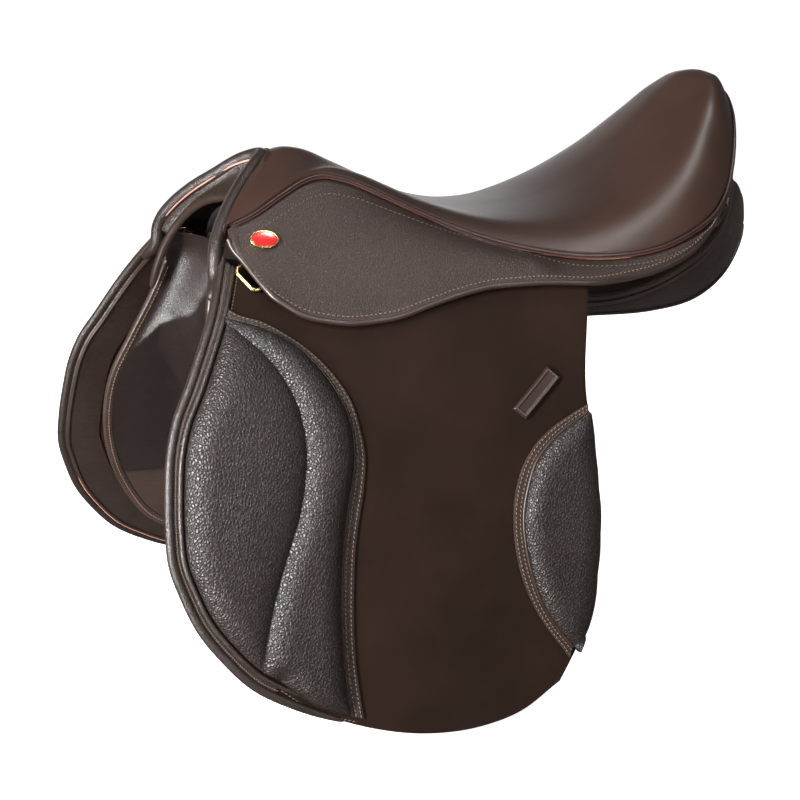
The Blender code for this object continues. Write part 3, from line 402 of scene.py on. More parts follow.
class Finish:
    """A material under way. The patterns read Object coordinates, in millimetres."""

    def __init__(self, name, roughness, metallic=0.0, specular=0.5, coat=0.0, coat_roughness=0.3):
        self.material = bpy.data.materials.new(name)
        self.material.use_nodes = True
        self.tree = self.material.node_tree
        self.shader = self.tree.nodes["Principled BSDF"]
        for key, number in (("Roughness", roughness), ("Metallic", metallic), ("Coat Weight", coat),
                            ("Specular IOR Level", specular), ("Coat Roughness", coat_roughness)):
            self.shader.inputs[key].default_value = number
        self.place = self.node("ShaderNodeTexCoord", out="Object")

    def node(self, kind, settings=None, out=0, **inputs):
        """One node: its settings first, then the values or links of its sockets."""
        node = self.tree.nodes.new(kind)
        for key, value in (settings or {}).items():
            setattr(node, key, value)
        for key, value in inputs.items():
            socket = node.inputs[key.replace("_", " ")]
            if isinstance(value, Value):
                self.tree.links.new(value.socket, socket)
            else:
                socket.default_value = value
        return Value(self.tree, node.outputs[out])

    def noise(self, size, detail=3.0, rough=0.55, stretch=None):
        """Cloudy noise whose lumps are about this many millimetres."""
        place = self.place
        if stretch:
            place = self.node("ShaderNodeMapping", Vector=place, Scale=stretch)
        return self.node("ShaderNodeTexNoise", out="Fac", Vector=place, Scale=1 / (size * MM),
                         Detail=detail, Roughness=rough)

    def grain(self, size):
        """Pebbles of about this many millimetres: the distance from each point to the edge of its pebble."""
        return self.node("ShaderNodeTexVoronoi", {"feature": "DISTANCE_TO_EDGE"}, out="Distance",
                         Vector=self.warped(size), Scale=1 / (size * MM), Randomness=1.0)

    def warped(self, size, amount=0.35):
        """Coordinates pushed about by noise, so that pebbles aren't straight-sided."""
        push = self.node("ShaderNodeTexNoise", out="Color", Vector=self.place,
                         Scale=0.8 / (size * MM), Detail=2.0)
        centred = self.node("ShaderNodeVectorMath", {"operation": "SUBTRACT"}, Vector=push)
        centred.socket.node.inputs[1].default_value = (0.5, 0.5, 0.5)
        scaled = self.node("ShaderNodeVectorMath", {"operation": "SCALE"}, Vector=centred,
                           Scale=size * MM * amount * 2)
        total = self.node("ShaderNodeVectorMath", {"operation": "ADD"}, Vector=self.place)
        self.tree.links.new(scaled.socket, total.socket.node.inputs[1])
        return total

    def mix(self, factor, first, second):
        """Two colours mixed by a factor."""
        node = self.tree.nodes.new("ShaderNodeMix")
        node.data_type = "RGBA"
        for key, value in ((0, factor), (6, first), (7, second)):
            if isinstance(value, Value):
                self.tree.links.new(value.socket, node.inputs[key])
            elif key:
                node.inputs[key].default_value = (*value, 1.0)
            else:
                node.inputs[key].default_value = value
        return Value(self.tree, node.outputs[2])

    def colour(self, value):
        self.tree.links.new(value.socket, self.shader.inputs["Base Color"])

    def roughness(self, value):
        self.tree.links.new(value.socket, self.shader.inputs["Roughness"])

    def bump(self, *layers):
        """Layers of (height value, depth in millimetres), the coarsest first."""
        last = None
        for height, depth in layers:
            node = self.node("ShaderNodeBump", out="Normal", Height=height, Distance=depth * MM, Strength=1.0)
            if last:
                self.tree.links.new(last.socket, node.socket.node.inputs["Normal"])
            last = node
        self.tree.links.new(last.socket, self.shader.inputs["Normal"])


# %% [markdown]
# All the leather is one dark chocolate dye, but each cut takes it in its own way. Pebbled hide is a field of
# small domes whose valleys are painted darker as painted shade, smooth calf has only pores and faint creases, and
# waxed flap leather has a cloudy bloom. One recipe, with a set of numbers for each cut, keeps them a family.

# %% Leather
DOME_WIDTH, DOME_ROUND = 2.3, 0.6      # a pebble is flat on top past 1 / width, and its sides curve by this power


def leather(name, dark, light, rough, specular=0.5, pebble=0.0, depth=0.0, valley=0.5, cloud=60.0, crease=0.0,
            pores=0.03):
    """dark and light are the dye's shades, rough is the roughness of the grain's tops and valleys, or the
    range of a smooth hide's. valley is the share of dark that the pebbles' valleys are painted, a painted shade in
    the recesses. pebble, depth, cloud, crease and pores are in millimetres."""
    look = Finish(name, rough[0], specular=specular)
    clouds = look.noise(cloud, detail=4.0)
    shade = look.mix(clouds.between(0.30, 0.70), dark, light)
    fine = look.noise(0.35, detail=2.0)
    if pebble:
        domes = (look.grain(pebble) * DOME_WIDTH).maths("MINIMUM", 1.0) ** DOME_ROUND
        # painted shade: the valleys between the pebbles get a darker copy of the dye, for the shade in the
        # recesses
        sink = tuple(c * valley for c in dark)
        look.colour(look.mix(domes.between(0.0, 0.7), sink, shade))
        look.roughness(rough[1] + (rough[0] - rough[1]) * domes + (clouds - 0.5) * 0.12)
        layers = [(domes, depth), (fine, pores)]
    else:
        look.colour(shade)
        look.roughness(rough[0] + (rough[1] - rough[0]) * look.noise(18.0, detail=5.0).between(0.3, 0.7))
        layers = [(fine, pores)]
    if crease:
        folds = look.noise(9.0, detail=4.0, rough=0.6, stretch=(0.35, 1.0, 1.6))
        layers.insert(0, (folds, crease))
    look.bump(*layers)
    return look.material


# valley sets how dark each hide's pebble valleys are painted, as painted shade
SEAT_HIDE = leather("seat_hide", (0.0235, 0.0108, 0.0070), (0.031, 0.0150, 0.0102), (0.33, 0.41), 0.40,
                    pebble=1.0, depth=0.03, valley=0.9, cloud=70.0, crease=0.12)
SKIRT_HIDE = leather("skirt_hide", (0.0190, 0.0098, 0.0068), (0.026, 0.0138, 0.0098), (0.38, 0.58), 0.42,
                     pebble=1.9, depth=0.22, valley=0.4, cloud=50.0)
FLAP_HIDE = leather("flap_hide", (0.0072, 0.0029, 0.0013), (0.0105, 0.0045, 0.0022), (0.62, 0.80), 0.10,
                    cloud=85.0, pores=0.04)
PAD_HIDE = leather("pad_hide", (0.0105, 0.0058, 0.0045), (0.0142, 0.0080, 0.0062), (0.28, 0.58), 0.42,
                   pebble=2.5, depth=0.45, valley=0.2, cloud=40.0, crease=0.25)
ROLL_HIDE = leather("roll_hide", (0.0140, 0.0078, 0.0056), (0.0190, 0.0108, 0.0078), (0.26, 0.42), 0.55,
                    pebble=1.5, depth=0.18, valley=0.45, cloud=30.0)
WELT_HIDE = leather("welt_hide", (0.0150, 0.0080, 0.0058), (0.0195, 0.0106, 0.0078), (0.28, 0.40),
                    cloud=30.0, pores=0.02)
PANEL_HIDE = leather("panel_hide", (0.0150, 0.0080, 0.0058), (0.0205, 0.0115, 0.0085), (0.30, 0.48),
                     pebble=1.6, depth=0.10, cloud=45.0, crease=0.9)
PANEL_SMOOTH = leather("panel_smooth_hide", (0.0100, 0.0056, 0.0044), (0.0142, 0.0080, 0.0062), (0.32, 0.46),
                       pebble=1.6, depth=0.16, cloud=45.0, crease=0.5)
LINING_HIDE = leather("lining_hide", (0.021, 0.0112, 0.0078), (0.030, 0.0165, 0.0118), (0.38, 0.54), 0.4,
                      pores=0.05, crease=0.5)
STRAP_HIDE = leather("strap_hide", (0.034, 0.0165, 0.0100), (0.046, 0.0245, 0.0150), (0.45, 0.60), 0.4,
                     cloud=25.0, pores=0.05)
STITCH_TAN = leather("thread_tan", (0.085, 0.052, 0.034), (0.12, 0.075, 0.050), (0.6, 0.7), 0.3)
STITCH_DARK = leather("thread_brown", (0.055, 0.036, 0.027), (0.075, 0.050, 0.038), (0.6, 0.7), 0.3)
CUT_EDGE = leather("cut_edge", (0.045, 0.009, 0.008), (0.070, 0.016, 0.014), (0.45, 0.6), 0.35)
RAW_EDGE = leather("raw_edge", (0.26, 0.12, 0.095), (0.38, 0.19, 0.15), (0.6, 0.75), 0.3)
print("leathers and threads", len(bpy.data.materials))


# %% [markdown]
# Metal shows its making. Forged steel has a faint cloud of tool marks, polished brass is nearly a mirror, and
# the beech of the tree has long growth rings that a stretched noise draws well.

# %% Metal, wood and cloth
def metal(name, colour, rough, mark=0.02):
    look = Finish(name, rough, metallic=1.0)
    wear = look.noise(6.0, detail=5.0)
    look.colour(look.mix(wear.between(0.35, 0.75), colour, tuple(c * 0.78 for c in colour)))
    look.roughness(rough + (wear - 0.5) * 0.25)
    look.bump((look.noise(0.6, detail=3.0), mark))
    return look.material


def beech(name):
    look = Finish(name, 0.55, specular=0.35)
    rings = look.noise(14.0, detail=6.0, stretch=(0.12, 1.0, 1.0))
    look.colour(look.mix(rings.between(0.35, 0.65), (0.50, 0.33, 0.18), (0.36, 0.21, 0.10)))
    look.bump((rings, 0.12))
    return look.material


WEAVE = 260.0      # wave scale of a coarse canvas


def canvas(name, colour):
    look = Finish(name, 0.9, specular=0.15)
    warp, weft = (look.node("ShaderNodeTexWave", {"bands_direction": way}, out="Fac", Vector=look.place,
                            Scale=WEAVE) for way in "XY")
    weave = warp * weft
    look.colour(look.mix(weave, tuple(c * 0.6 for c in colour), colour))
    look.bump((weave, 0.2))
    return look.material


BRASS = metal("polished_brass", (0.60, 0.46, 0.19), 0.24)
STEEL = metal("forged_steel", (0.52, 0.52, 0.53), 0.38, mark=0.05)
BEECH = beech("beech_wood")
LINEN = canvas("linen_web", (0.55, 0.48, 0.36))
FOAM_CLOTH = canvas("foam_canvas", (0.62, 0.56, 0.44))


def enamel(name):
    look = Finish(name, 0.22, specular=0.6, coat=0.7, coat_roughness=0.08)
    look.colour(look.mix(look.noise(3.0).between(0.3, 0.7), (0.24, 0.006, 0.005), (0.30, 0.010, 0.008)))
    return look.material


ENAMEL = enamel("red_enamel")
CAD_LOOKS = {
    STEEL: ["gullet_plate", "spring", "stirrup_bar", "bar_catch"],
    BEECH: ["tree"],
    LINEN: ["seat_webbing", "girth_web"],
    FOAM_CLOTH: ["seat_foam"],
    STRAP_HIDE: ["girth_strap", "buckle_guard", "dee_chape"],
    LINING_HIDE: ["point_pocket"],
}
for look, starts in CAD_LOOKS.items():
    for name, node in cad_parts.items():
        if any(name.startswith(start) for start in starts):
            node.data.materials.clear()
            node.data.materials.append(look)
print("materials", len(bpy.data.materials))

# %% [markdown]
# The camera stands where a catalogue photographer would, a little above the seat and turned towards the
# pommel. Leather shows its shape by its highlights, so the main light is a tall narrow box on the left, which
# draws a line down every roll. Three weaker ones lift the front, the seat and the far side. The floor is a
# plain pale sheet that glows a little, so that it looks as white as the backdrop behind it.

# %% Camera, light and floor
AIM = Vector((-58, 0, -78)) * MM
TURN, LIFT = math.radians(23.0), math.radians(15.0)
DISTANCE = 1.550
LENS, SENSOR = 83.25, 36.0


def look_along(direction):
    return direction.to_track_quat("-Z", "Y").to_euler()


forward = Vector((math.sin(TURN) * math.cos(LIFT), math.cos(TURN) * math.cos(LIFT), -math.sin(LIFT)))
camera_data = bpy.data.cameras.new("camera")
camera_data.lens, camera_data.sensor_width = LENS, SENSOR
camera = bpy.data.objects.new("camera", camera_data)
camera.location = AIM - forward * DISTANCE
camera.rotation_euler = look_along(forward)
bpy.context.scene.collection.objects.link(camera)
bpy.context.scene.camera = camera


def softbox(name, place, target, wide, high, power):
    data = bpy.data.lights.new(name, "AREA")
    data.shape, data.size, data.size_y, data.energy = "RECTANGLE", wide, high, power
    lamp = bpy.data.objects.new(name, data)
    lamp.location = place
    lamp.rotation_euler = look_along(Vector(target) - Vector(place))
    bpy.context.scene.collection.objects.link(lamp)


softbox("left", (-1.45, -0.80, 0.30), (-0.10, 0.0, -0.08), 0.22, 1.30, 108)
softbox("key", (-0.10, -1.45, 0.85), (0.0, 0.0, 0.05), 0.60, 0.20, 9)
softbox("top", (0.24, -0.34, 1.60), (0.05, -0.10, 0.06), 0.45, 0.20, 9)
softbox("back", (0.35, 1.70, 0.10), (0.0, 0.0, -0.05), 2.0, 1.0, 8)
FILL, BACKDROP, FLOOR_GLOW = 0.15, 1.05, 0.88      # strengths: what lights the saddle, and what is seen
bpy.context.scene.view_settings.view_transform = "Standard"
world = bpy.data.worlds.new("studio")
world.use_nodes = True
backdrop = world.node_tree.nodes["Background"]
backdrop.inputs["Color"].default_value = (1.0, 1.0, 1.0, 1.0)
seen = world.node_tree.nodes.new("ShaderNodeLightPath")
level = world.node_tree.nodes.new("ShaderNodeMapRange")
level.inputs["To Min"].default_value, level.inputs["To Max"].default_value = FILL, BACKDROP
world.node_tree.links.new(seen.outputs["Is Camera Ray"], level.inputs["Value"])
world.node_tree.links.new(level.outputs["Result"], backdrop.inputs["Strength"])
bpy.context.scene.world = world

FLOOR_Z = CAD_BOX[0][2] - 0.002
bpy.ops.mesh.primitive_circle_add(vertices=96, radius=3.0, fill_type="NGON", location=(0.0, 0.0, 0.0))
floor = bpy.context.object
floor.name = "floor"
floor.data.transform(Matrix.Translation((0.0, 0.0, FLOOR_Z)))
pale = Finish("pale_floor", 0.9, specular=0.1)
pale.shader.inputs["Emission Color"].default_value = (1.0, 1.0, 1.0, 1.0)
pale.shader.inputs["Emission Strength"].default_value = FLOOR_GLOW
pale.colour(pale.mix(pale.noise(400.0).between(0.3, 0.7), (0.93, 0.93, 0.93), (0.95, 0.95, 0.95)))
floor.data.materials.append(pale.material)
floor.visible_glossy = False
floor.select_set(False)
print("camera", [round(v, 3) for v in camera.location], "floor at", round(FLOOR_Z, 4), "m")

# %% [markdown]
# The patterns. Lines marked with two numbers are drawn in x and z and laid on the curved face of a flap.
# They hold the chosen points of this saddle, near side, in millimetres.

# %% Patterns
WELT_LINE = np.array([
    (-229, -70, 94), (-209, -68, 101), (-182, -60, 114), (-159, -52, 123), (-146, -50, 125),
    (-126, -52, 121), (-99, -58, 109), (-69, -66, 94), (-40, -77, 81), (-12, -92, 71),
    (15, -107, 65), (44, -120, 61), (74, -129, 61), (109, -132, 65), (139, -127, 74),
    (167, -116, 86), (184, -104, 99), (199, -88, 117), (213, -68, 141), (224, -45, 160),
    (231, -20, 172), (232, -7, 174),
], float)
CENTRE_LINE = np.array([
    (-169, 0, 137), (-158, 0, 139), (-144, 0, 137), (-119, 0, 126), (-84, 0, 109), (-58, 0, 97),
    (-22, 0, 87), (14, 0, 83), (45, 0, 84), (75, 0, 90), (105, 0, 102), (135, 0, 120),
    (165, 0, 146), (190, 0, 171), (208, 0, 185), (222, 0, 186), (233, 0, 176),
], float)
POMMEL_LINE = np.array([
    (-177, 0, 134), (-187, -16, 129), (-204, -32, 116), (-220, -50, 102), (-231, -63, 89),
    (-238, -72, 77), (-240, -76, 70),
], float)
ARCH_LINE = np.array([
    (-203, 0, 101), (-211, -20, 98), (-220, -40, 89), (-229, -56, 74), (-237, -66, 57), (-242, -72, 41),
    (-247, -79, 18),
], float)
SKIRT_EDGE = np.array([
    (-231, -75, 86), (-228, -80, 76), (-221, -90, 66), (-215, -101, 56), (-208, -112, 46),
    (-198, -119, 38), (-187, -125, 31), (-173, -129, 27), (-154, -133, 24), (-135, -134, 24),
    (-115, -135, 26), (-91, -134, 32), (-65, -133, 38), (-40, -133, 42), (-16, -136, 43),
    (16, -141, 43), (47, -147, 42), (75, -146, 43), (105, -143, 47), (135, -136, 56),
    (160, -124, 70), (180, -111, 88), (189, -102, 99),
], float)
FLAP_FRONT = [
    (-237, 70), (-246, 54), (-256, 36), (-268, 15), (-282, -10), (-295, -32), (-303, -55),
    (-307, -78), (-310, -106), (-310, -133), (-304, -155), (-295, -178), (-279, -202),
    (-259, -224), (-231, -242),
]
FLAP_REAR = [
    (42, 38), (34, 6), (27, -38), (28, -61), (29, -99), (29, -137), (24, -175), (15, -212), (2, -234),
    (-13, -255),
]
FLAP_BOTTOM = [(-231, -242), (-202, -256), (-176, -266), (-124, -278), (-83, -279), (-49, -273), (-13, -255)]
FLAP_TOP = [
    (-226, 62), (-205, 47), (-180, 37), (-150, 34), (-100, 34), (-68, 36), (-40, 39), (0, 43), (42, 38),
]
FRONT_TRIM = [
    (-243, 38), (-236, 33), (-219, 27), (-199, 15), (-183, 2), (-170, -14), (-161, -31), (-157, -49),
    (-155, -70), (-159, -95), (-165, -116), (-170, -137), (-174, -165), (-177, -194), (-178, -222),
    (-177, -244), (-176, -258),
]
FRONT_INNER = [
    (-247, 31), (-231, 26), (-213, 19), (-195, 7), (-182, -8), (-172, -25), (-165, -44), (-164, -66),
    (-168, -87), (-174, -107), (-180, -132), (-184, -157), (-187, -185), (-188, -214), (-188, -239),
    (-186, -254),
]
FRONT_GROOVE = [
    (-241, 23), (-230, 12), (-219, 0), (-210, -15), (-204, -30), (-201, -48), (-201, -66), (-205, -86),
    (-211, -107), (-220, -127), (-229, -147), (-237, -167), (-244, -188), (-249, -208),
]
FACED = FLAP_FRONT + [(-202, -256), (-176, -266), (-150, -272)]
REAR_TRIM = [
    (27, -48), (12, -55), (-5, -64), (-19, -75), (-30, -89), (-38, -107), (-42, -129), (-42, -152),
    (-38, -175), (-31, -195), (-20, -215), (-9, -231), (-4, -239),
]
REAR_INNER = [
    (27, -54), (10, -63), (-6, -74), (-19, -88), (-27, -105), (-33, -127), (-33, -149), (-30, -170),
    (-24, -192), (-14, -212), (0, -230),
]
SWEAT_FRONT = [
    (-233, 44), (-246, 10), (-262, -25), (-277, -62), (-280, -105), (-272, -145), (-256, -180), (-236, -208),
]
SWEAT_REAR = [(22, 36), (20, -20), (18, -80), (14, -140), (2, -190), (-22, -222)]
SWEAT_BOTTOM = [(-236, -208), (-190, -234), (-140, -244), (-80, -243), (-22, -222)]
PANEL_WELT_LINE = np.array([
    (30, -114, 28), (60, -114, 22), (103, -114, 26), (143, -109, 38), (172, -102, 53), (190, -93, 67),
    (206, -78, 86), (218, -63, 101),
], float)
BEND_FRONT, BEND_REAR = np.array([-226.0, -84.0, 73.0]), np.array([40.0, -146.0, 42.5])
SKIRT_FRONT, SKIRT_REAR = -221.0, -2.0
print("flap", FLAP_REAR[0][0] - min(x for x, z in FLAP_FRONT), "mm wide")

# %% [markdown]
# A flap hangs on the horse's side, so its face is curved in both directions: it leaves the skirt, swells over
# the knee and falls nearly straight. Two smooth tables give its half width at any x and z.

# %% Faces of the flaps
top_width = ramp((-300, 62), (-260, 68), (-180, 74), (-97, 86), (0, 102), (58, 114), (155, 118))
belly = ramp((-0.2, -0.5), (0, 0), (0.10, 0.26), (0.25, 0.48), (0.47, 0.66), (0.72, 0.82), (1.0, 1.0),
             (1.2, 1.12))
sweat_top = ramp((-300, 70), (-280, 76), (-235, 86), (-200, 97), (-150, 105), (-100, 107), (0, 108),
                 (40, 108))
FLAP_TOP_Z, FLAP_DROP, FLAP_LOW = 73.0, 354.0, 215.0
SWEAT_TOP_Z, SWEAT_LOW_Z, SWEAT_LOW = 40.0, -240.0, 184.0


def flap_width(x, z):
    top = top_width(x)
    return top + (FLAP_LOW - top) * belly((FLAP_TOP_Z - z) / FLAP_DROP)


def sweat_width(x, z):
    top = sweat_top(x)
    return top + (SWEAT_LOW - top) * (SWEAT_TOP_Z - z) / (SWEAT_TOP_Z - SWEAT_LOW_Z)


def on_face(flat, lift=0.0, width=flap_width, normal=False):
    """(x, z) places on a face of the near side, lifted off it by so many millimetres."""
    flat = np.asarray(flat, float)
    x, z, h = flat[..., 0], flat[..., 1], 1.0
    slope_x = (width(x + h, z) - width(x - h, z)) / (2 * h)
    slope_z = (width(x, z + h) - width(x, z - h)) / (2 * h)
    out = unit(np.stack([-slope_x, -np.ones_like(x), -slope_z], axis=-1))
    if normal:
        return out
    return np.stack([x, -width(x, z), z], axis=-1) + out * np.asarray(lift, float)[..., None]


def inset(line, by, count, ends=(0.0, 1.0)):
    """A pattern line set in sideways, to its left as it runs."""
    flat = smooth(line, count, ends)
    run = unit(np.gradient(flat, axis=0))
    return flat + by * np.stack([-run[:, 1], run[:, 0]], axis=1)


def patch(top, bottom, front, rear):
    """A grid of places between four edge lines: front and rear run from top to bottom."""
    top, bottom, front, rear = (np.asarray(line, float) for line in (top, bottom, front, rear))
    t = np.linspace(0.0, 1.0, len(front))[:, None, None]
    s = np.linspace(0.0, 1.0, len(top))[None, :, None]
    ruled = (1 - t) * top[None] + t * bottom[None] + (1 - s) * front[:, None] + s * rear[:, None]
    corners = (1 - t) * ((1 - s) * top[0] + s * top[-1]) + t * ((1 - s) * bottom[0] + s * bottom[-1])
    return ruled - corners


print("flap half width at the knee", round(float(flap_width(-200.0, -60.0)), 1), "mm")

# %% [markdown]
# The seat is the part that a rider buys a saddle for: soft calf pulled over foam, narrow at the twist and
# dished towards the cantle. It could be sculpted, but rows from the near welt over the middle to the off welt
# give an even surface, and each row's curve is one power of its distance from the middle.

# %% Seat
SEAT_EDGE, SEAT_MIDDLE = smooth(WELT_LINE, 1200), smooth(CENTRE_LINE, 1200)
seat_round = ramp((0.0, 1.25), (0.12, 1.6), (0.3, 1.9), (0.6, 2.3), (1.0, 2.0))
seat_across = ramp((0.0, 1.15), (0.15, 1.5), (0.8, 2.0), (1.0, 2.0))
seat_rise = ramp((0.0, 0.0), (0.1, 3.0), (0.3, 4.0), (0.5, 4.5), (0.65, 10.0), (0.8, 17.0), (0.9, 12.0),
                 (1.0, 0.0))
CREST = 0.10          # how wide the rounding over the middle line is
SEAT_SPREAD = 0.92    # below 1, the columns stand a little closer together at the welt
SEAT_HIDE_THICKNESS = 2.0


def seat_surface(us, vs):
    """Rows of the seat: u runs from the pommel to the cantle, and v from one welt to the other."""
    pick = np.round(np.asarray(us) * (len(SEAT_EDGE) - 1)).astype(int)
    edge, middle = SEAT_EDGE[pick][:, None], SEAT_MIDDLE[pick][:, None]
    w = (np.sqrt(vs**2 + CREST**2) - CREST) / (math.sqrt(1 + CREST**2) - CREST)
    w = w[None, :]
    u = np.asarray(us)[:, None]
    x = middle[..., 0] + (edge - middle)[..., 0] * w ** seat_across(u)
    z = middle[..., 2] + (edge - middle)[..., 2] * w ** seat_round(u)
    z = z + seat_rise(u) * np.sin(math.pi * w**2.6)
    y = -edge[..., 1] * vs[None, :]
    return np.stack([x, y + 0 * x, z], axis=-1)


us = np.linspace(0.0, 1.0, 116)
vs = np.sin(np.linspace(-1.0, 1.0, 73) * math.pi / 2 * SEAT_SPREAD) / math.sin(math.pi / 2 * SEAT_SPREAD)
top = seat_surface(us, vs)
front_y = np.abs(top[0, :, 1])
reach = np.stack([np.interp(front_y, -POMMEL_LINE[:, 1], POMMEL_LINE[:, 0]) + 3.5, top[0, :, 1],
                  np.interp(front_y, -POMMEL_LINE[:, 1], POMMEL_LINE[:, 2]) + 2.4], axis=1)
top = np.concatenate([[top[0] * (1 - t) + reach * t + np.array([0.0, 0.0, 2.0 * math.sin(math.pi * t)])
                       for t in (1.0, 0.75, 0.5, 0.25)], top], axis=0)
turned_in = [top[:, :1] + np.array([0.0, 1.2, -3.6]), top[:, :1] + np.array([0.0, -0.2, -1.5])]
top = np.concatenate([*turned_in, top, *[edge * OTHER_SIDE for edge in turned_in[::-1]]], axis=1)
top = np.concatenate([top[:1] + np.array([2.0, 0.0, -4.0]), top[:1] + np.array([0.4, 0.0, -1.6]), top,
                      top[-1:] + np.array([0.2, 0.0, -1.6]), top[-1:] + np.array([-1.2, 0.0, -4.0])], axis=0)
seat = sheet("seat", top, SEAT_HIDE_THICKNESS, SEAT_HIDE, "saddle", "seat_leather", ["seat_cover"], edge=0)
print("seat", len(seat.data.polygons), "faces")

# %% [markdown]
# Where the seat meets the skirt, a strip folded round a cord is sewn into the seam, and its cut edge shows as
# a thin red line. Two rolls of different radius on the same line do this.

# %% Seat welt
WELT_RADIUS, CUT_EDGE_RADIUS = 1.45, 0.6
whole = np.concatenate([WELT_LINE, (WELT_LINE * OTHER_SIDE)[::-1]])
line = smooth(whole, 300, ends=(0.004, 0.996))
flat = unit(np.gradient(line, axis=0) * np.array([1.0, 1.0, 0.0]))
aside = np.stack([flat[:, 1], -flat[:, 0], 0 * flat[:, 0]], axis=1)
roll("seat_welt_roll", line + aside * 1.7 + np.array([0.0, 0.0, -2.9]), WELT_RADIUS, WELT_HIDE, "saddle",
     "roll_leather", ["seat_welt"], sides=3)
roll("seat_welt_cut_edge", line + aside * 2.6 + np.array([0.0, 0.0, -4.5]), CUT_EDGE_RADIUS, CUT_EDGE, "saddle",
     "roll_leather", sides=2)
print("welt", len(line), "points,", WELT_RADIUS * 2, "mm thick")

# %% [markdown]
# The pommel is finished with a stuffed roll, a facing behind it that closes the front of the tree, and a
# second roll where the panels meet in the arch. The lining's raw edge shows between them.

# %% Pommel
POMMEL_RADIUS, GULLET_RADIUS, FACING_BULGE = 5.3, 3.4, 5.0


def both_sides(line):
    """A near-side line from the middle outwards, made one line from the near to the off side."""
    return np.concatenate([line[::-1], line[1:] * OTHER_SIDE])


POMMEL_END = on_face([(-242, 60), (-249, 46)], lift=-7.0)      # behind the flap's roll
pommel = smooth(both_sides(np.concatenate([POMMEL_LINE, POMMEL_END])), 180)
arch = smooth(both_sides(ARCH_LINE), 160)
pommel_roll = roll("pommel_edge_roll", pommel, POMMEL_RADIUS, ROLL_HIDE, "saddle", "roll_leather",
                   ["pommel_roll"], sides=7, taper=8)
roll("gullet_edge_roll", arch, GULLET_RADIUS, WELT_HIDE, "saddle", "roll_leather", ["gullet_welt"], sides=5,
     taper=8)
upper = smooth(both_sides(POMMEL_LINE), 90)
lower = smooth(both_sides(ARCH_LINE[:-2]), 90)
toward = unit(lower - upper)
rows = np.array([(upper + toward * 3.0) * (1 - t) + (lower - toward * 1.5) * t
                 + np.array([FACING_BULGE * math.sin(math.pi * t), 0.0, 0.0]) for t in np.linspace(0, 1, 13)])
sheet("pommel_lining", rows, 1.8, ROLL_HIDE, "saddle", "grain_leather", ["pommel_facing"])
raw = upper + toward * 5.4 + np.array([-3.2, 0.0, 0.0])
roll("pommel_raw_edge", raw[6:-6], 0.8, RAW_EDGE, "saddle", "roll_leather", sides=2)
print("pommel roll", len(pommel_roll.data.polygons), "faces")

# %% [markdown]
# The skirt covers the stirrup bar and folds up along a line. Only its lower part moves, so the part above the
# line and the part below it are two sheets of one surface that share every point on it, and the tip in front
# and the tail behind stay put. Its lower edge is bound, and two rows of stitches run inside the welt and
# inside the binding.

# %% Skirt
SKIRT_THICKNESS = 2.6
skirt_drop = ramp((-300, 2.6), (60, 2.6), (120, 2.7), (170, 5.2), (220, 5.4))


def ease(x, low, high):
    t = np.clip((x - low) / (high - low), 0.0, 1.0)
    return (t * t * (3 - 2 * t))[..., None]


def skirt_surface(xs, ts):
    """The skirt's outer face. ts is 0 under the welt, 1 on the line that it folds along, 2 on its edge."""
    xs = np.asarray(xs, float)
    top = at_x(WELT_LINE, xs)
    top = top + np.stack([0 * xs, 0 * xs - 1.6, -(4.0 + skirt_drop(xs))], axis=-1)
    edge = at_x(SKIRT_EDGE, xs)
    along = (xs - BEND_FRONT[0]) / (BEND_REAR[0] - BEND_FRONT[0])
    bend = BEND_FRONT + along[:, None] * (BEND_REAR - BEND_FRONT)
    plain = (top + edge) / 2 + np.array([0.0, -1.0, 1.0])
    loose = np.maximum(ease(xs, SKIRT_REAR, 70.0), 1 - ease(xs, -228.0, SKIRT_FRONT))
    middle = bend * (1 - loose) + plain * loose
    upper = np.linalg.norm(middle - top, axis=-1)[None, :, None]
    lower = np.linalg.norm(edge - middle, axis=-1)[None, :, None]
    knee = upper / (upper + lower)
    t = np.asarray(ts, float)[:, None, None]
    s = np.where(t < 1, t * knee, knee + (t - 1) * (1 - knee))
    return ((s - knee) * (s - 1) / knee * top[None] + s * (s - 1) / (knee * (knee - 1)) * middle[None]
            + s * (s - knee) / (1 - knee) * edge[None])


def skirt_sheet(name, xs, ts, body, stands_for=()):
    """One part of the skirt: its surface between these x and these shares."""
    sheet(name, skirt_surface(xs, ts), SKIRT_THICKNESS, SKIRT_HIDE, body, "grain_leather", stands_for, edge=0.0)


TUCK = -0.13      # how far the skirt runs up under the welt
middle_xs = np.linspace(SKIRT_FRONT, SKIRT_REAR, 74)
skirt_sheet("skirt_top_near", middle_xs, np.linspace(TUCK, 1.0, 19), "saddle", ["skirt_band_near"])
skirt_sheet("skirt_fold_near", middle_xs, np.linspace(1.0, 2.0, 15), "skirt_near_side", ["skirt_near"])
skirt_sheet("skirt_tip_near", np.linspace(-228.0, SKIRT_FRONT, 6), np.linspace(TUCK, 2.0, 27), "saddle")
skirt_sheet("skirt_tail_near", np.linspace(SKIRT_REAR, 184.0, 64), np.linspace(TUCK, 2.0, 33), "saddle")
print("skirt parts", sum(name.startswith("skirt_") for name in PIECES))


# %% Skirt binding and stitches
def skirt_line(xs, ts):
    """Points on the skirt's face, one for each x and t, and the way out of the face there."""
    here = np.array([skirt_surface([x], [t])[0, 0] for x, t in zip(xs, ts)])
    ahead = np.array([skirt_surface([x + 0.5], [t])[0, 0] for x, t in zip(xs, ts)])
    below = np.array([skirt_surface([x], [t - 0.02])[0, 0] for x, t in zip(xs, ts)])
    out = unit(np.cross(here - below, ahead - here))
    out *= np.where(out[:, 1:2] > 0, -1.0, 1.0)
    return here, out


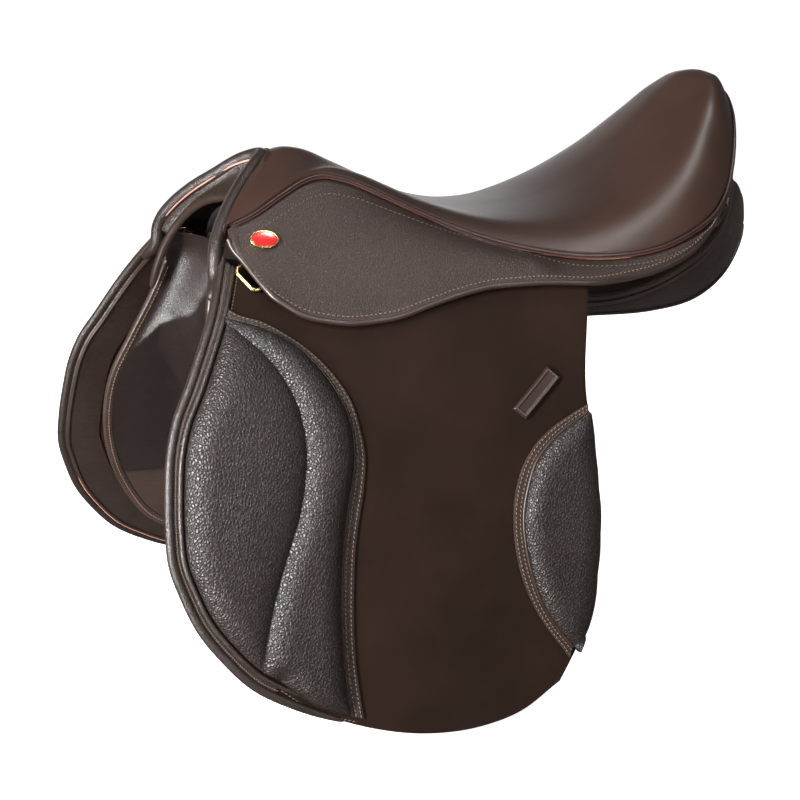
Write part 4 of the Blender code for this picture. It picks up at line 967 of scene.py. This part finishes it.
def share_at(xs, start, distance):
    """How far t goes for this many millimetres along the skirt, downwards from 0 or upwards from 2."""
    steps = np.linspace(0.0, 1.2, 60)
    lines = skirt_surface(xs, start + (steps if start < 1 else -steps))
    run = np.cumsum(np.linalg.norm(np.diff(lines, axis=0, prepend=lines[:1]), axis=2), axis=0)
    distance = np.broadcast_to(distance, len(xs))
    return np.array([np.interp(d, run[:, k], steps) for k, d in enumerate(distance)])


BINDING = 2.1         # radius of the bound edge
EDGE_SEAM = 5.2       # from the edge to the stitches inside it
TOP_SEAM = ramp((-220, 9), (-190, 11.5), (-60, 11.5), (60, 8), (180, 5))      # from the welt to its stitches
for part, low, high, body in (("tip", -230.0, SKIRT_FRONT, "saddle"),
                              ("fold", SKIRT_FRONT, SKIRT_REAR, "skirt_near_side"),
                              ("tail", SKIRT_REAR, 187.0, "saddle")):
    xs = np.linspace(low, high, max(8, int((high - low) / 2)))
    edge, out = skirt_line(xs, np.full(len(xs), 2.0))
    roll(f"skirt_binding_{part}_near", edge - out * SKIRT_THICKNESS / 2, BINDING, WELT_HIDE, body,
         "grain_leather", sides=4, taper=0)
    if part != "tip":
        xs = np.linspace(max(low, -216.0), min(high, 172.0), max(8, int((high - low) / 3)))
        row, out = skirt_line(xs, 2.0 - share_at(xs, 2.0, EDGE_SEAM))
        stitches(f"skirt_edge_stitch_{part}_near", row, out, STITCH_TAN, body, "grain_leather", 3.6, 2.3)
xs = np.linspace(-214.0, 150.0, 150)
row, out = skirt_line(xs, share_at(xs, 0.0, TOP_SEAM(xs)))
stitches("skirt_top_stitch_near", row, out, STITCH_DARK, "saddle", "grain_leather", 3.8, 2.4, 0.38)
print("pieces so far", len(PIECES))

# %% [markdown]
# The flap is one heavy cut of waxed leather. Its front edge goes into the roll, so the sheet runs under it,
# and its rear and lower edges are plain cut edges, rounded and waxed.

# %% Flap
FLAP_BODY, FLAP_THICKNESS = "flap_near_side", 4.0
front = inset(FLAP_FRONT, 4.5, 96, (0.015, 0.985))
rear = smooth(FLAP_REAR, 96)
flap_top = smooth(FLAP_TOP, 90)
flap_top += (np.linspace(1, 0, 90)[:, None] ** 3) * (front[0] - flap_top[0])
bottom = smooth(FLAP_BOTTOM, 90, (0.012, 1.0))
bottom += (np.linspace(1, 0, 90)[:, None] ** 3) * (front[-1] - bottom[0])
flap_flat = patch(flap_top, bottom, front, rear)
flap = sheet("flap_panel_near", on_face(flap_flat), FLAP_THICKNESS, FLAP_HIDE, FLAP_BODY, "flap_leather",
             ["flap_near"], edge=0.9)
print("flap", [round(d / MM) for d in flap.dimensions], "mm")

# %% [markdown]
# Down the front edge run two rolls with a closely stitched strip between them, which keeps the rider's leg
# behind the flap's edge. Each is a curve at its own distance inside the edge.

# %% Front rolls
OUTER_RADIUS, INNER_RADIUS = 3.6, 2.1
outer = on_face(inset(FACED, 3.4, 260, (0.0, 0.90)), -0.6)
inner = on_face(inset(FACED, 11.4, 260, (0.004, 0.86)), 0.6)
roll("front_outer_roll_near", outer, OUTER_RADIUS, ROLL_HIDE, FLAP_BODY, "roll_leather", ["front_roll_near"],
     sides=5, taper=0, end=46)
roll("front_inner_roll_near", inner, INNER_RADIUS, ROLL_HIDE, FLAP_BODY, "roll_leather", taper=4, end=40)
band = np.stack([on_face(inset(FLAP_FRONT, by, 160, (0.006, 0.955)), 1.3) for by in (5.5, 7.6, 9.8)], axis=1)
sheet("front_strip_near", band, 2.2, ROLL_HIDE, FLAP_BODY, "roll_leather", edge=0.3)
for k, (by, ends, lift, pitch, length) in enumerate(((7.8, (0.03, 0.96), 1.3, 2.0, 1.5),
                                                     (15.3, (0.02, 0.22), 0.0, 3.0, 2.2))):
    row = inset(FLAP_FRONT, by, 260, ends)
    stitches(f"front_stitch_{k}_near", on_face(row, lift), on_face(row, normal=True), STITCH_DARK, FLAP_BODY,
             "roll_leather", pitch, length, 0.42)
print("front rolls", OUTER_RADIUS * 2, "and", INNER_RADIUS * 2, "mm thick")

# %% [markdown]
# Behind the rolls, the inner face of the flap is faced with grained leather. Its front edge is turned round a
# thin cord, and lower down the leather's raw edge shows. On the far side it's in full view.

# %% Facing inside the flap
facing = np.stack([on_face(inset(FACED, by, 150, (0.03, 0.99)), -FLAP_THICKNESS - lift)
                   for by, lift in ((6.0, 0.2), (7.0, 1.2), (20.0, 1.2), (36.0, 1.2), (37.0, 0.2))], axis=1)
sheet("front_facing_near", facing[:, ::-1], 1.0, PANEL_HIDE, FLAP_BODY, "flap_leather", edge=0.0)
roll("front_facing_cord_near", on_face(inset(FACED, 8.4, 220, (0.03, 0.98)), -5.4), 1.3, WELT_HIDE, FLAP_BODY,
     "roll_leather", sides=3, taper=6)
roll("front_raw_edge_near", on_face(inset(FACED, 6.5, 120, (0.58, 0.93)), -5.1), 0.35, RAW_EDGE, FLAP_BODY,
     "roll_leather", sides=2, taper=6)
print("facing", facing.shape[0], "rows")

# %% [markdown]
# The knee pad is stuffed in two sections with a sunk line between them. Its height above the flap is a
# product of round shoulders, one for each edge, so it swells evenly and never gets a hard corner.

# %% Knee pad
PAD_EDGE, PAD_SWELL = 2.0, 11.5      # height at the seam, and how much more in the middle
GROOVE_DEEP, GROOVE_SOFT = 0.36, 2.5      # what height is left in the sunk line, and how round its bottom is
rows_n, cols_n = 190, 130
pad_front = inset(FLAP_FRONT, 14.2, rows_n, (0.115, 0.955))
pad_rear = smooth(FRONT_INNER, rows_n)
pad_top = np.linspace(pad_front[0], pad_rear[0], cols_n)
pad_bottom = smooth([pad_front[-1], (-212, -243.0), pad_rear[-1]], cols_n)
flat = patch(pad_top, pad_bottom, pad_front, pad_rear)
groove = from_line(flat, FRONT_GROOVE + [(-252, -222)])
valley = np.hypot(groove, GROOVE_SOFT) - GROOVE_SOFT
from_front = np.abs(from_line(flat, [tuple(p) for p in pad_front[::9]]))
from_trim = np.abs(from_line(flat, FRONT_INNER))
from_bottom = np.abs(from_line(flat, [tuple(p) for p in pad_bottom[::6]]))
sunk = GROOVE_DEEP + (1 - GROOVE_DEEP) * np.where(groove > 0, shoulder(valley, 14.0), shoulder(valley, 40.0))
rounded = shoulder(from_front, 20.0) * shoulder(from_trim, 20.0) * shoulder(from_bottom, 16.0)
height = PAD_EDGE + PAD_SWELL * rounded * sunk
pad("knee_pad_near", on_face(flat, height), on_face(flat, 0.8), PAD_HIDE, FLAP_BODY, "pad_leather",
    ["front_pad_near"], fill=0.8)
print("knee pad", round(float(height.max()), 1), "mm high")

# %% [markdown]
# A pad is held by a flat strip sewn over its raw edge. The strip is one narrow sheet, with a thin rolled edge
# against the pad and a row of stitches along each side.


# %% Knee pad trim
TRIM = 1.9      # thickness of the strip


def trim(name, outside, inside):
    """The flat strip round a pad: a sheet, a raised edge against the pad and two rows of stitches."""
    outside, inside = smooth(outside, 150), smooth(inside, 150)
    band = np.stack([on_face(outside * (1 - s) + inside * s, TRIM) for s in np.linspace(0, 1, 5)], axis=1)
    if np.cross(band[1, 0] - band[0, 0], band[0, 1] - band[0, 0])[1] > 0:
        band = band[:, ::-1]
    sheet(f"{name}_trim_near", band, TRIM, SKIRT_HIDE, FLAP_BODY, "pad_leather", edge=0.6)
    raised = outside * 0.08 + inside * 0.92
    roll(f"{name}_trim_edge_near", on_face(raised, 2.4), 1.25, WELT_HIDE, FLAP_BODY, "pad_leather", sides=3,
         taper=4)
    for k, s in enumerate((0.22, 0.62)):
        row = outside * (1 - s) + inside * s
        stitches(f"{name}_stitch_{k}_near", on_face(row, TRIM), on_face(row, normal=True), STITCH_TAN,
                 FLAP_BODY, "pad_leather", 3.4, 2.2, 0.34)
    print(name, "trim", len(band), "rows")


trim("knee", FRONT_TRIM, FRONT_INNER)
lower = smooth([tuple(inset(FLAP_FRONT, 9.0, 50, (0.5, 0.965))[-1]), (-212, -247.0), (-182, -259.0)], 60)
stitches("knee_stitch_low_near", on_face(lower, 0.1), on_face(lower, normal=True), STITCH_DARK, FLAP_BODY,
         "pad_leather")

# %% [markdown]
# The thigh pad at the rear is smaller and has one section. Its outer side is the flap's own rear edge.

# %% Thigh pad
rows_n, cols_n = 96, 50
thigh_front = smooth(REAR_INNER, rows_n)
thigh_rear = inset(FLAP_REAR, 1.4, rows_n, (0.315, 0.915))
flat = patch(np.linspace(thigh_front[0], thigh_rear[0], cols_n),
             np.linspace(thigh_front[-1], thigh_rear[-1], cols_n), thigh_front, thigh_rear)
from_front = np.abs(from_line(flat, REAR_INNER))
from_rear = np.abs(from_line(flat, [tuple(p) for p in thigh_rear[::8]]))
height = 1.8 + 8.4 * shoulder(from_front, 15.0) * shoulder(from_rear, 20.0)
pad("thigh_pad_near", on_face(flat, height), on_face(flat, 0.8), PAD_HIDE, FLAP_BODY, "pad_leather",
    ["rear_pad_near"], fill=0.8)
trim("thigh", REAR_TRIM, REAR_INNER)
print("thigh pad", round(float(height.max()), 1), "mm high")

# %% [markdown]
# The keeper is a short strip with rounded corners and a plain pressed panel. Its
# height is worked out from how far each point is from the nearest edge.

# %% Keeper
KEEPER_LENGTH, KEEPER_WIDTH = 43.0, 13.0
keeper_at = np.array([-14.0, -37.0])
along, across = unit(np.array([-30.0, -27.0])), unit(np.array([0.75, -0.66]))
s, t = np.linspace(-0.5, 0.5, 60), np.linspace(-0.5, 0.5, 25)
flat = keeper_at + s[:, None, None] * KEEPER_LENGTH * along + t[None, :, None] * KEEPER_WIDTH * across
edge_gap = np.minimum((0.5 - np.abs(s))[:, None] * KEEPER_LENGTH, (0.5 - np.abs(t))[None, :] * KEEPER_WIDTH)
height = 1.0 + 2.6 * shoulder(edge_gap, 1.6) - 0.7 * np.clip((edge_gap - 2.4) / 0.6, 0, 1)
pad("keeper_strip_near", on_face(flat, height), on_face(flat, 0.5), WELT_HIDE, FLAP_BODY, "flap_leather",
    ["keeper_near"], fill=0)
for k, end in enumerate((-0.45, 0.45)):
    row = keeper_at + end * KEEPER_LENGTH * along + np.linspace(-0.36, 0.36, 12)[:, None] * KEEPER_WIDTH * across
    stitches(f"keeper_stitch_{k}_near", on_face(row, 3.5), on_face(row, normal=True), STITCH_TAN, FLAP_BODY,
             "flap_leather", 1.9, 1.3, 0.28)
print("keeper", KEEPER_LENGTH, "by", KEEPER_WIDTH, "mm")

# %% [markdown]
# Under the flap lies the sweat flap, which rests on the horse. Its edge is bound and stitched, and on the far
# side its inner face is in full view.

# %% Sweat flap
sweat_flat = patch(smooth([(-233, 44), (-200, 40), (-100, 38), (22, 36)], 70), smooth(SWEAT_BOTTOM, 70),
                   smooth(SWEAT_FRONT, 80), smooth(SWEAT_REAR, 80))
SWEAT_THICKNESS = 3.0
sheet("sweat_panel_near", on_face(sweat_flat, width=sweat_width), SWEAT_THICKNESS, LINING_HIDE, "saddle",
      "panel_leather", ["sweat_flap_near"], edge=0.8)
SWEAT_ROUND = SWEAT_FRONT[:-1] + SWEAT_BOTTOM[:3]
row = inset(SWEAT_ROUND, 4.4, 220, (0.02, 0.98))
stitches("sweat_stitch_near", on_face(row, -SWEAT_THICKNESS - 1.2, sweat_width),
         -on_face(row, normal=True, width=sweat_width), STITCH_TAN, "saddle", "panel_leather", thick=0.4)
strip = np.stack([on_face(inset(SWEAT_ROUND, by, 130, (0.01, 0.99)), -SWEAT_THICKNESS - lift, sweat_width)
                  for by, lift in ((0.3, 0.0), (1.2, 1.1), (4.4, 1.2), (7.4, 1.0), (8.4, 0.2))], axis=1)
sheet("sweat_border_near", strip[:, ::-1], 1.0, LINING_HIDE, "saddle", "panel_leather", edge=0.2)
print("sweat flap", round(float(np.ptp(sweat_flat[..., 0]))), "mm wide")

# %% [markdown]
# The knee block is a firm wedge on the sweat flap, under the flap. It's round towards all four of its
# edges, so two shoulders multiplied give its height.

# %% Knee block
s, t = np.linspace(0, 1, 24), np.linspace(0, 1, 40)
block_front = smooth([(-240, -4), (-256, -40), (-264, -80), (-260, -120), (-248, -150)], 40)
block_rear = smooth([(-206, -4), (-206, -40), (-208, -80), (-212, -120), (-222, -150)], 40)
flat = block_front[:, None] * (1 - s)[None, :, None] + block_rear[:, None] * s[None, :, None]
swell = shoulder(np.minimum(s, 1 - s), 0.5)[None, :] * shoulder(np.minimum(t, 1 - t), 0.3)[:, None]
pad("knee_wedge_near", on_face(flat, PAD_EDGE + PAD_SWELL * swell, sweat_width), on_face(flat, 0.6, sweat_width),
    PAD_HIDE, "saddle", "panel_leather", ["knee_block_near"], fill=0.95)
print("knee block", round(float(np.ptp(flat[..., 1]))), "mm long")

# %% [markdown]
# The panels are two long wool cushions that carry the saddle. Soft-cornered sections at eleven places, joined
# by smooth lines, give the shape. Each section is given by x and by four corners as (half width, z): upper
# inner, upper outer, lower outer and lower inner.

# %% Panels
PANEL_STATIONS = [
    (-202, (44, 65), (68, 65), (98, -24), (85, -30)),
    (-180, (40, 60), (73, 63), (108, -38), (92, -46)),
    (-130, (38, 50), (80, 52), (114, -36), (90, -44)),
    (-70, (36, 38), (86, 44), (112, -16), (76, -26)),
    (0, (35, 28), (92, 38), (104, 2), (56, -8)),
    (60, (35, 30), (98, 34), (106, 3), (48, -5)),
    (120, (36, 50), (104, 42), (106, 1), (44, -3)),
    (170, (36, 82), (95, 64), (97, 5), (44, 4)),
    (205, (34, 96), (78, 86), (82, 20), (40, 20)),
    (228, (34, 100), (60, 96), (66, 42), (40, 42)),
    (237, (38, 88), (52, 86), (56, 58), (42, 58)),
]
AROUND, SQUARENESS = 56, 0.62      # points round a section, and its power: 1 is an oval, 0 has sharp corners
END_CAP = (0.97, 0.88, 0.70, 0.40, 0.12)      # how the rings shrink towards each end's middle


def panel_section(values):
    """The points round one soft-cornered section."""
    x, corners = values[0], np.array(values[1:]).reshape(4, 2)
    a = 2 * math.pi * np.arange(AROUND) / AROUND
    s, t = (np.sign(wave) * np.abs(wave) ** SQUARENESS / 2 + 0.5 for wave in (np.cos(a), np.sin(a)))
    s, t = s[:, None], t[:, None]
    up = corners[0] * (1 - s) + corners[1] * s
    low = corners[3] * (1 - s) + corners[2] * s
    flat = low * (1 - t) + up * t
    return np.stack([np.full(AROUND, x), -flat[:, 0], flat[:, 1]], axis=1)


table = np.array([[x] + [v for corner in corners for v in corner] for x, *corners in PANEL_STATIONS], float)
sections = np.array([panel_section(row) for row in smooth(table, 110)])


def panel_mesh(name, sections):
    """The sections skinned, with a domed cap of shrinking rings on each end."""
    centre = sections.mean(axis=1, keepdims=True)
    caps = [[centre[k] + (sections[k] - centre[k]) * shrink + np.array([outward * 3.0 * (1 - shrink**2), 0.0, 0.0])
             for shrink in END_CAP] for k, outward in ((0, -1), (-1, 1))]
    rings = np.array(caps[0][::-1] + list(sections) + caps[1])
    last = (len(rings) - 1) * AROUND
    faces = []
    for first in range(0, last, AROUND):
        for j in range(AROUND):
            a, b = first + j, first + (j + 1) % AROUND
            faces.append((a, a + AROUND, b + AROUND, b))
    faces += [tuple(range(AROUND)), tuple(range(last, last + AROUND))]
    return mesh_piece(name, rings.reshape(-1, 3), faces, 70)


panel = panel_mesh("panel_cushion_near", sections)
finished(panel, PANEL_HIDE, "saddle", "panel_leather", ["panel_near"])
SOFT["panel_cushion_near"] = 0.85
print("panel", [round(d / MM) for d in panel.dimensions], "mm")

# %% [markdown]
# On the horse's side, the panel's leather runs on over the sweat flap as one smooth drape. It's as wide apart
# as the panel at the top and as the sweat flap below and at the front, and it wrinkles where it's eased in.

# %% Drape
inner_top = ramp((-236, 58), (-226, 54), (-205, 44), (-180, 40), (-130, 38), (-70, 36))
top_z = ramp((-236, 68), (-226, 72), (-205, 66), (-180, 60), (-130, 50), (-70, 38))
inner_low = ramp((-236, 74), (-226, 74), (-205, 84), (-180, 92), (-130, 90), (-70, 76))
low_z = ramp((-236, 16), (-226, 4), (-205, -28), (-180, -46), (-130, -44), (-70, -26))


def drape_width(flat):
    """Half width of the drape's face on the horse's side, at these x and z."""
    x, z = flat[..., 0], flat[..., 1]
    share = (top_z(x) - z) / (top_z(x) - low_z(x))
    on_panel = inner_top(x) + (inner_low(x) - inner_top(x)) * np.clip(share, 0.0, 1.25) - 3.0
    below = ease(low_z(x) - z, -14.0, 62.0)[..., 0]
    from_edge = np.abs(from_line(flat, SWEAT_FRONT))
    at_front = 1 - ease(from_edge, 8.0, 38.0)[..., 0]
    out = np.maximum(below, at_front)
    return on_panel * (1 - out) + (sweat_width(x, z) - 4.6) * out


count_z, count_x = 110, 90
along_border = [tuple(p) for p in inset(SWEAT_FRONT, 8.2, 9, (0.05, 0.80))]
drape_front = smooth([(-232, 66), (-234, 50)] + along_border, count_z)
drape_rear = smooth([(-120, 44), (-120, 0), (-116, -60), (-112, -130), (-110, -170)], count_z)
flat = patch(np.linspace(drape_front[0], drape_rear[0], count_x),
             np.linspace(drape_front[-1], drape_rear[-1], count_x), drape_front, drape_rear)
x, z = flat[..., 0], flat[..., 1]
fold = np.exp(-(((x + 214) / 20) ** 2 + ((z + 22) / 34) ** 2))
ripple = (0.35 * np.sin((z * 0.9 + x * 0.55) / 4.2 + 0.8 * np.sin(x / 9))
          + 0.2 * np.sin((z * 0.5 - x * 0.9) / 5.5))
drape = np.stack([x, -(drape_width(flat) - fold * ripple), z], axis=-1)
sheet("panel_drape_near", drape[:, ::-1], 1.2, PANEL_SMOOTH, "saddle", "panel_leather", edge=0.0)
print("deepest wrinkle", round(float(np.abs(fold * ripple).max()), 2), "mm")

# %% [markdown]
# A seam closes each panel below, and two rolls of piping run where it meets the sweat flap and the tree.

# %% Panel seams and piping
OUTER_LOW_CORNER = int(AROUND * 0.875)
low_seam = sections[58:, OUTER_LOW_CORNER] + np.array([0.0, -0.4, -0.6])
piping = smooth(PANEL_WELT_LINE, 120)
for name, line, radius, stands_for, sides in (
        ("panel_seam_near", low_seam, 1.2, (), 3),
        ("panel_piping_top_near", piping, 2.3, ["panel_welt_near"], 4),
        ("panel_piping_low_near", piping + np.array([0.0, 1.0, -5.4]), 1.7, (), 3)):
    roll(name, line, radius, WELT_HIDE, "saddle", "roll_leather", stands_for, taper=6, sides=sides)
    print(name, radius * 2, "mm thick")

# %% [markdown]
# The back of the cantle is covered by a facing whose lower edge is bound. It's a sheet lofted between two
# lines, the welt above and the binding below, and it bulges a little.

# %% Cantle
CANTLE_START, CANTLE_BULGE = 176, 3.4
start = int(np.argmin(np.abs(SEAT_EDGE[:, 0] - CANTLE_START)))
cantle_top = smooth(SEAT_EDGE[start::12], 60) + np.array([0.0, 0.0, -6.4])
cantle_low = smooth([
    (CANTLE_START, -104, 70), (190, -95, 82), (205, -78, 98), (218, -58, 112), (227, -34, 120), (230, -7, 122),
], 60)
cantle_top = np.concatenate([cantle_top, cantle_top[::-1] * OTHER_SIDE])
cantle_low = np.concatenate([cantle_low, cantle_low[::-1] * OTHER_SIDE])
rows = np.array([cantle_top * (1 - s) + cantle_low * s + np.array([CANTLE_BULGE * math.sin(math.pi * s), 0, 0])
                 for s in np.linspace(0, 1, 15)])
sheet("cantle_cover", rows, 2.0, SKIRT_HIDE, "saddle", "grain_leather", ["cantle_facing"], edge=0.4)
roll("cantle_binding", smooth(cantle_low, 120) + np.array([0.6, 0.0, -0.6]), 2.3, WELT_HIDE, "saddle",
     "grain_leather")
print("cantle facing", round(float(np.ptp(rows[..., 1]))), "mm across")

# %% [markdown]
# The dee is bent brass wire. Its outline is four quarter turns, and the
# straight runs between them come of themselves, because the line simply goes on to the next turn.

# %% Dee
DEE_LIFT, DEE_WIRE, DEE_TURN = 3.05, 1.65, 5.0      # off the flap, wire radius, bend radius
DEE_BENDS = ((7.0, 5.0, -90), (7.0, 10.0, 0), (-7.0, 10.0, 90), (-7.0, 5.0, 180))      # centres, and start angles
HANG = 0.096      # how far the ring leans in against the flap
upper_end, lower_end = on_face([-217.0, 66.5], DEE_LIFT), on_face([-203.0, 47.5], DEE_LIFT)
middle = np.mean([upper_end, lower_end], axis=0)
dee_along = unit(lower_end - upper_end)
dee_forward = on_face([middle[0] - 12.0, middle[2] - 9.0], DEE_LIFT) - middle
dee_forward = unit(dee_forward - dee_along * np.dot(dee_forward, dee_along))
dee_forward = unit(dee_forward - HANG * on_face([middle[0], middle[2]], normal=True))
loop = [(cx + DEE_TURN * math.cos(a), cy + DEE_TURN * math.sin(a)) for cx, cy, from_angle in DEE_BENDS
        for a in np.radians(np.linspace(from_angle, from_angle + 90, 13))]
wire = np.array([middle + dee_along * a + dee_forward * b for a, b in loop])
roll("dee_ring_near", wire, DEE_WIRE, BRASS, "dee_near_side", "brass", ["dee_near"], sides=5, taper=0,
     closed=True)
print("dee", len(wire), "points")

# %% [markdown]
# The head nail is an enamelled oval in a gilt rim. Each is a cylinder whose top is inset three times, the
# enamel's a little higher each time, and nothing is written on it. It lies in the skirt's face, turned to
# follow the welt.

# %% Head nail
NAIL_LONG, NAIL_HIGH, ENAMEL_LONG, ENAMEL_HIGH = 11.0, 7.5, 9.9, 6.4      # half lengths and half heights
NAIL_X, NAIL_SHARE, NAIL_TURN = -203.0, 0.62, 0.22


def disc(name, centre, along, up, long, high, rise, rim, look, stands_for=(), dome=0.0):
    """An oval disc: a cylinder whose top is inset and domed, then turned into place."""
    bpy.ops.mesh.primitive_cylinder_add(vertices=56, radius=1.0, depth=rise, end_fill_type="NGON")
    obj = bpy.context.object
    obj.name = obj.data.name = name
    obj.data.transform(Matrix.Diagonal((long, high, 1.0, 1.0)))
    bpy.ops.object.mode_set(mode="EDIT")
    bpy.ops.mesh.select_all(action="DESELECT")
    bpy.ops.object.mode_set(mode="OBJECT")
    for face in obj.data.polygons:
        face.select = face.normal.z > 0.9
    bpy.ops.object.mode_set(mode="EDIT")
    bpy.ops.mesh.inset(thickness=rim, depth=0.0)
    for step in (0.9, 0.7, 0.45):
        bpy.ops.mesh.inset(thickness=high * 0.2, depth=dome * step)
    bpy.ops.object.mode_set(mode="OBJECT")
    x, z = unit(along), unit(np.cross(along, up))
    y = np.cross(z, x)
    co = np.array([v.co for v in obj.data.vertices])
    co = centre + co[:, :1] * x + co[:, 1:2] * y + co[:, 2:] * z
    obj.data.vertices.foreach_set("co", (co * MM).reshape(-1).astype(np.float32))
    bevel = obj.modifiers.new("edge", "BEVEL")
    bevel.width, bevel.segments, bevel.angle_limit = 0.45 * MM, 3, math.radians(40)
    apply_all(obj)
    tidy_mesh(obj, 45)
    finished(obj, look, "saddle", "enamel", stands_for)


here, out = skirt_line([NAIL_X - 4.0, NAIL_X, NAIL_X + 4.0], [NAIL_SHARE] * 3)
above, below = (skirt_surface([NAIL_X], [NAIL_SHARE + step])[0, 0] for step in (-0.1, 0.1))
down = below - above
nail_along = unit(here[2] - here[0]) + unit(down) * NAIL_TURN
disc("nail_rim_near", here[1] + out[1] * 1.5, nail_along, -down, NAIL_LONG, NAIL_HIGH, 3.0, 1.0, BRASS,
     ["skirt_nail_near"])
disc("nail_enamel_near", here[1] + out[1] * 2.5, nail_along, -down, ENAMEL_LONG, ENAMEL_HIGH, 1.8, 0.6, ENAMEL,
     dome=0.18)
print("head nail", NAIL_LONG * 2, "by", NAIL_HIGH * 2, "mm")

# %% [markdown]
# All the near-side pieces are there, so their twins can be made. The looks may not make the saddle any
# bigger.

# %% The off side and the end
mirror_all()
print("pieces", len(PIECES), "faces", sum(len(p[0].data.polygons) for p in PIECES.values()))
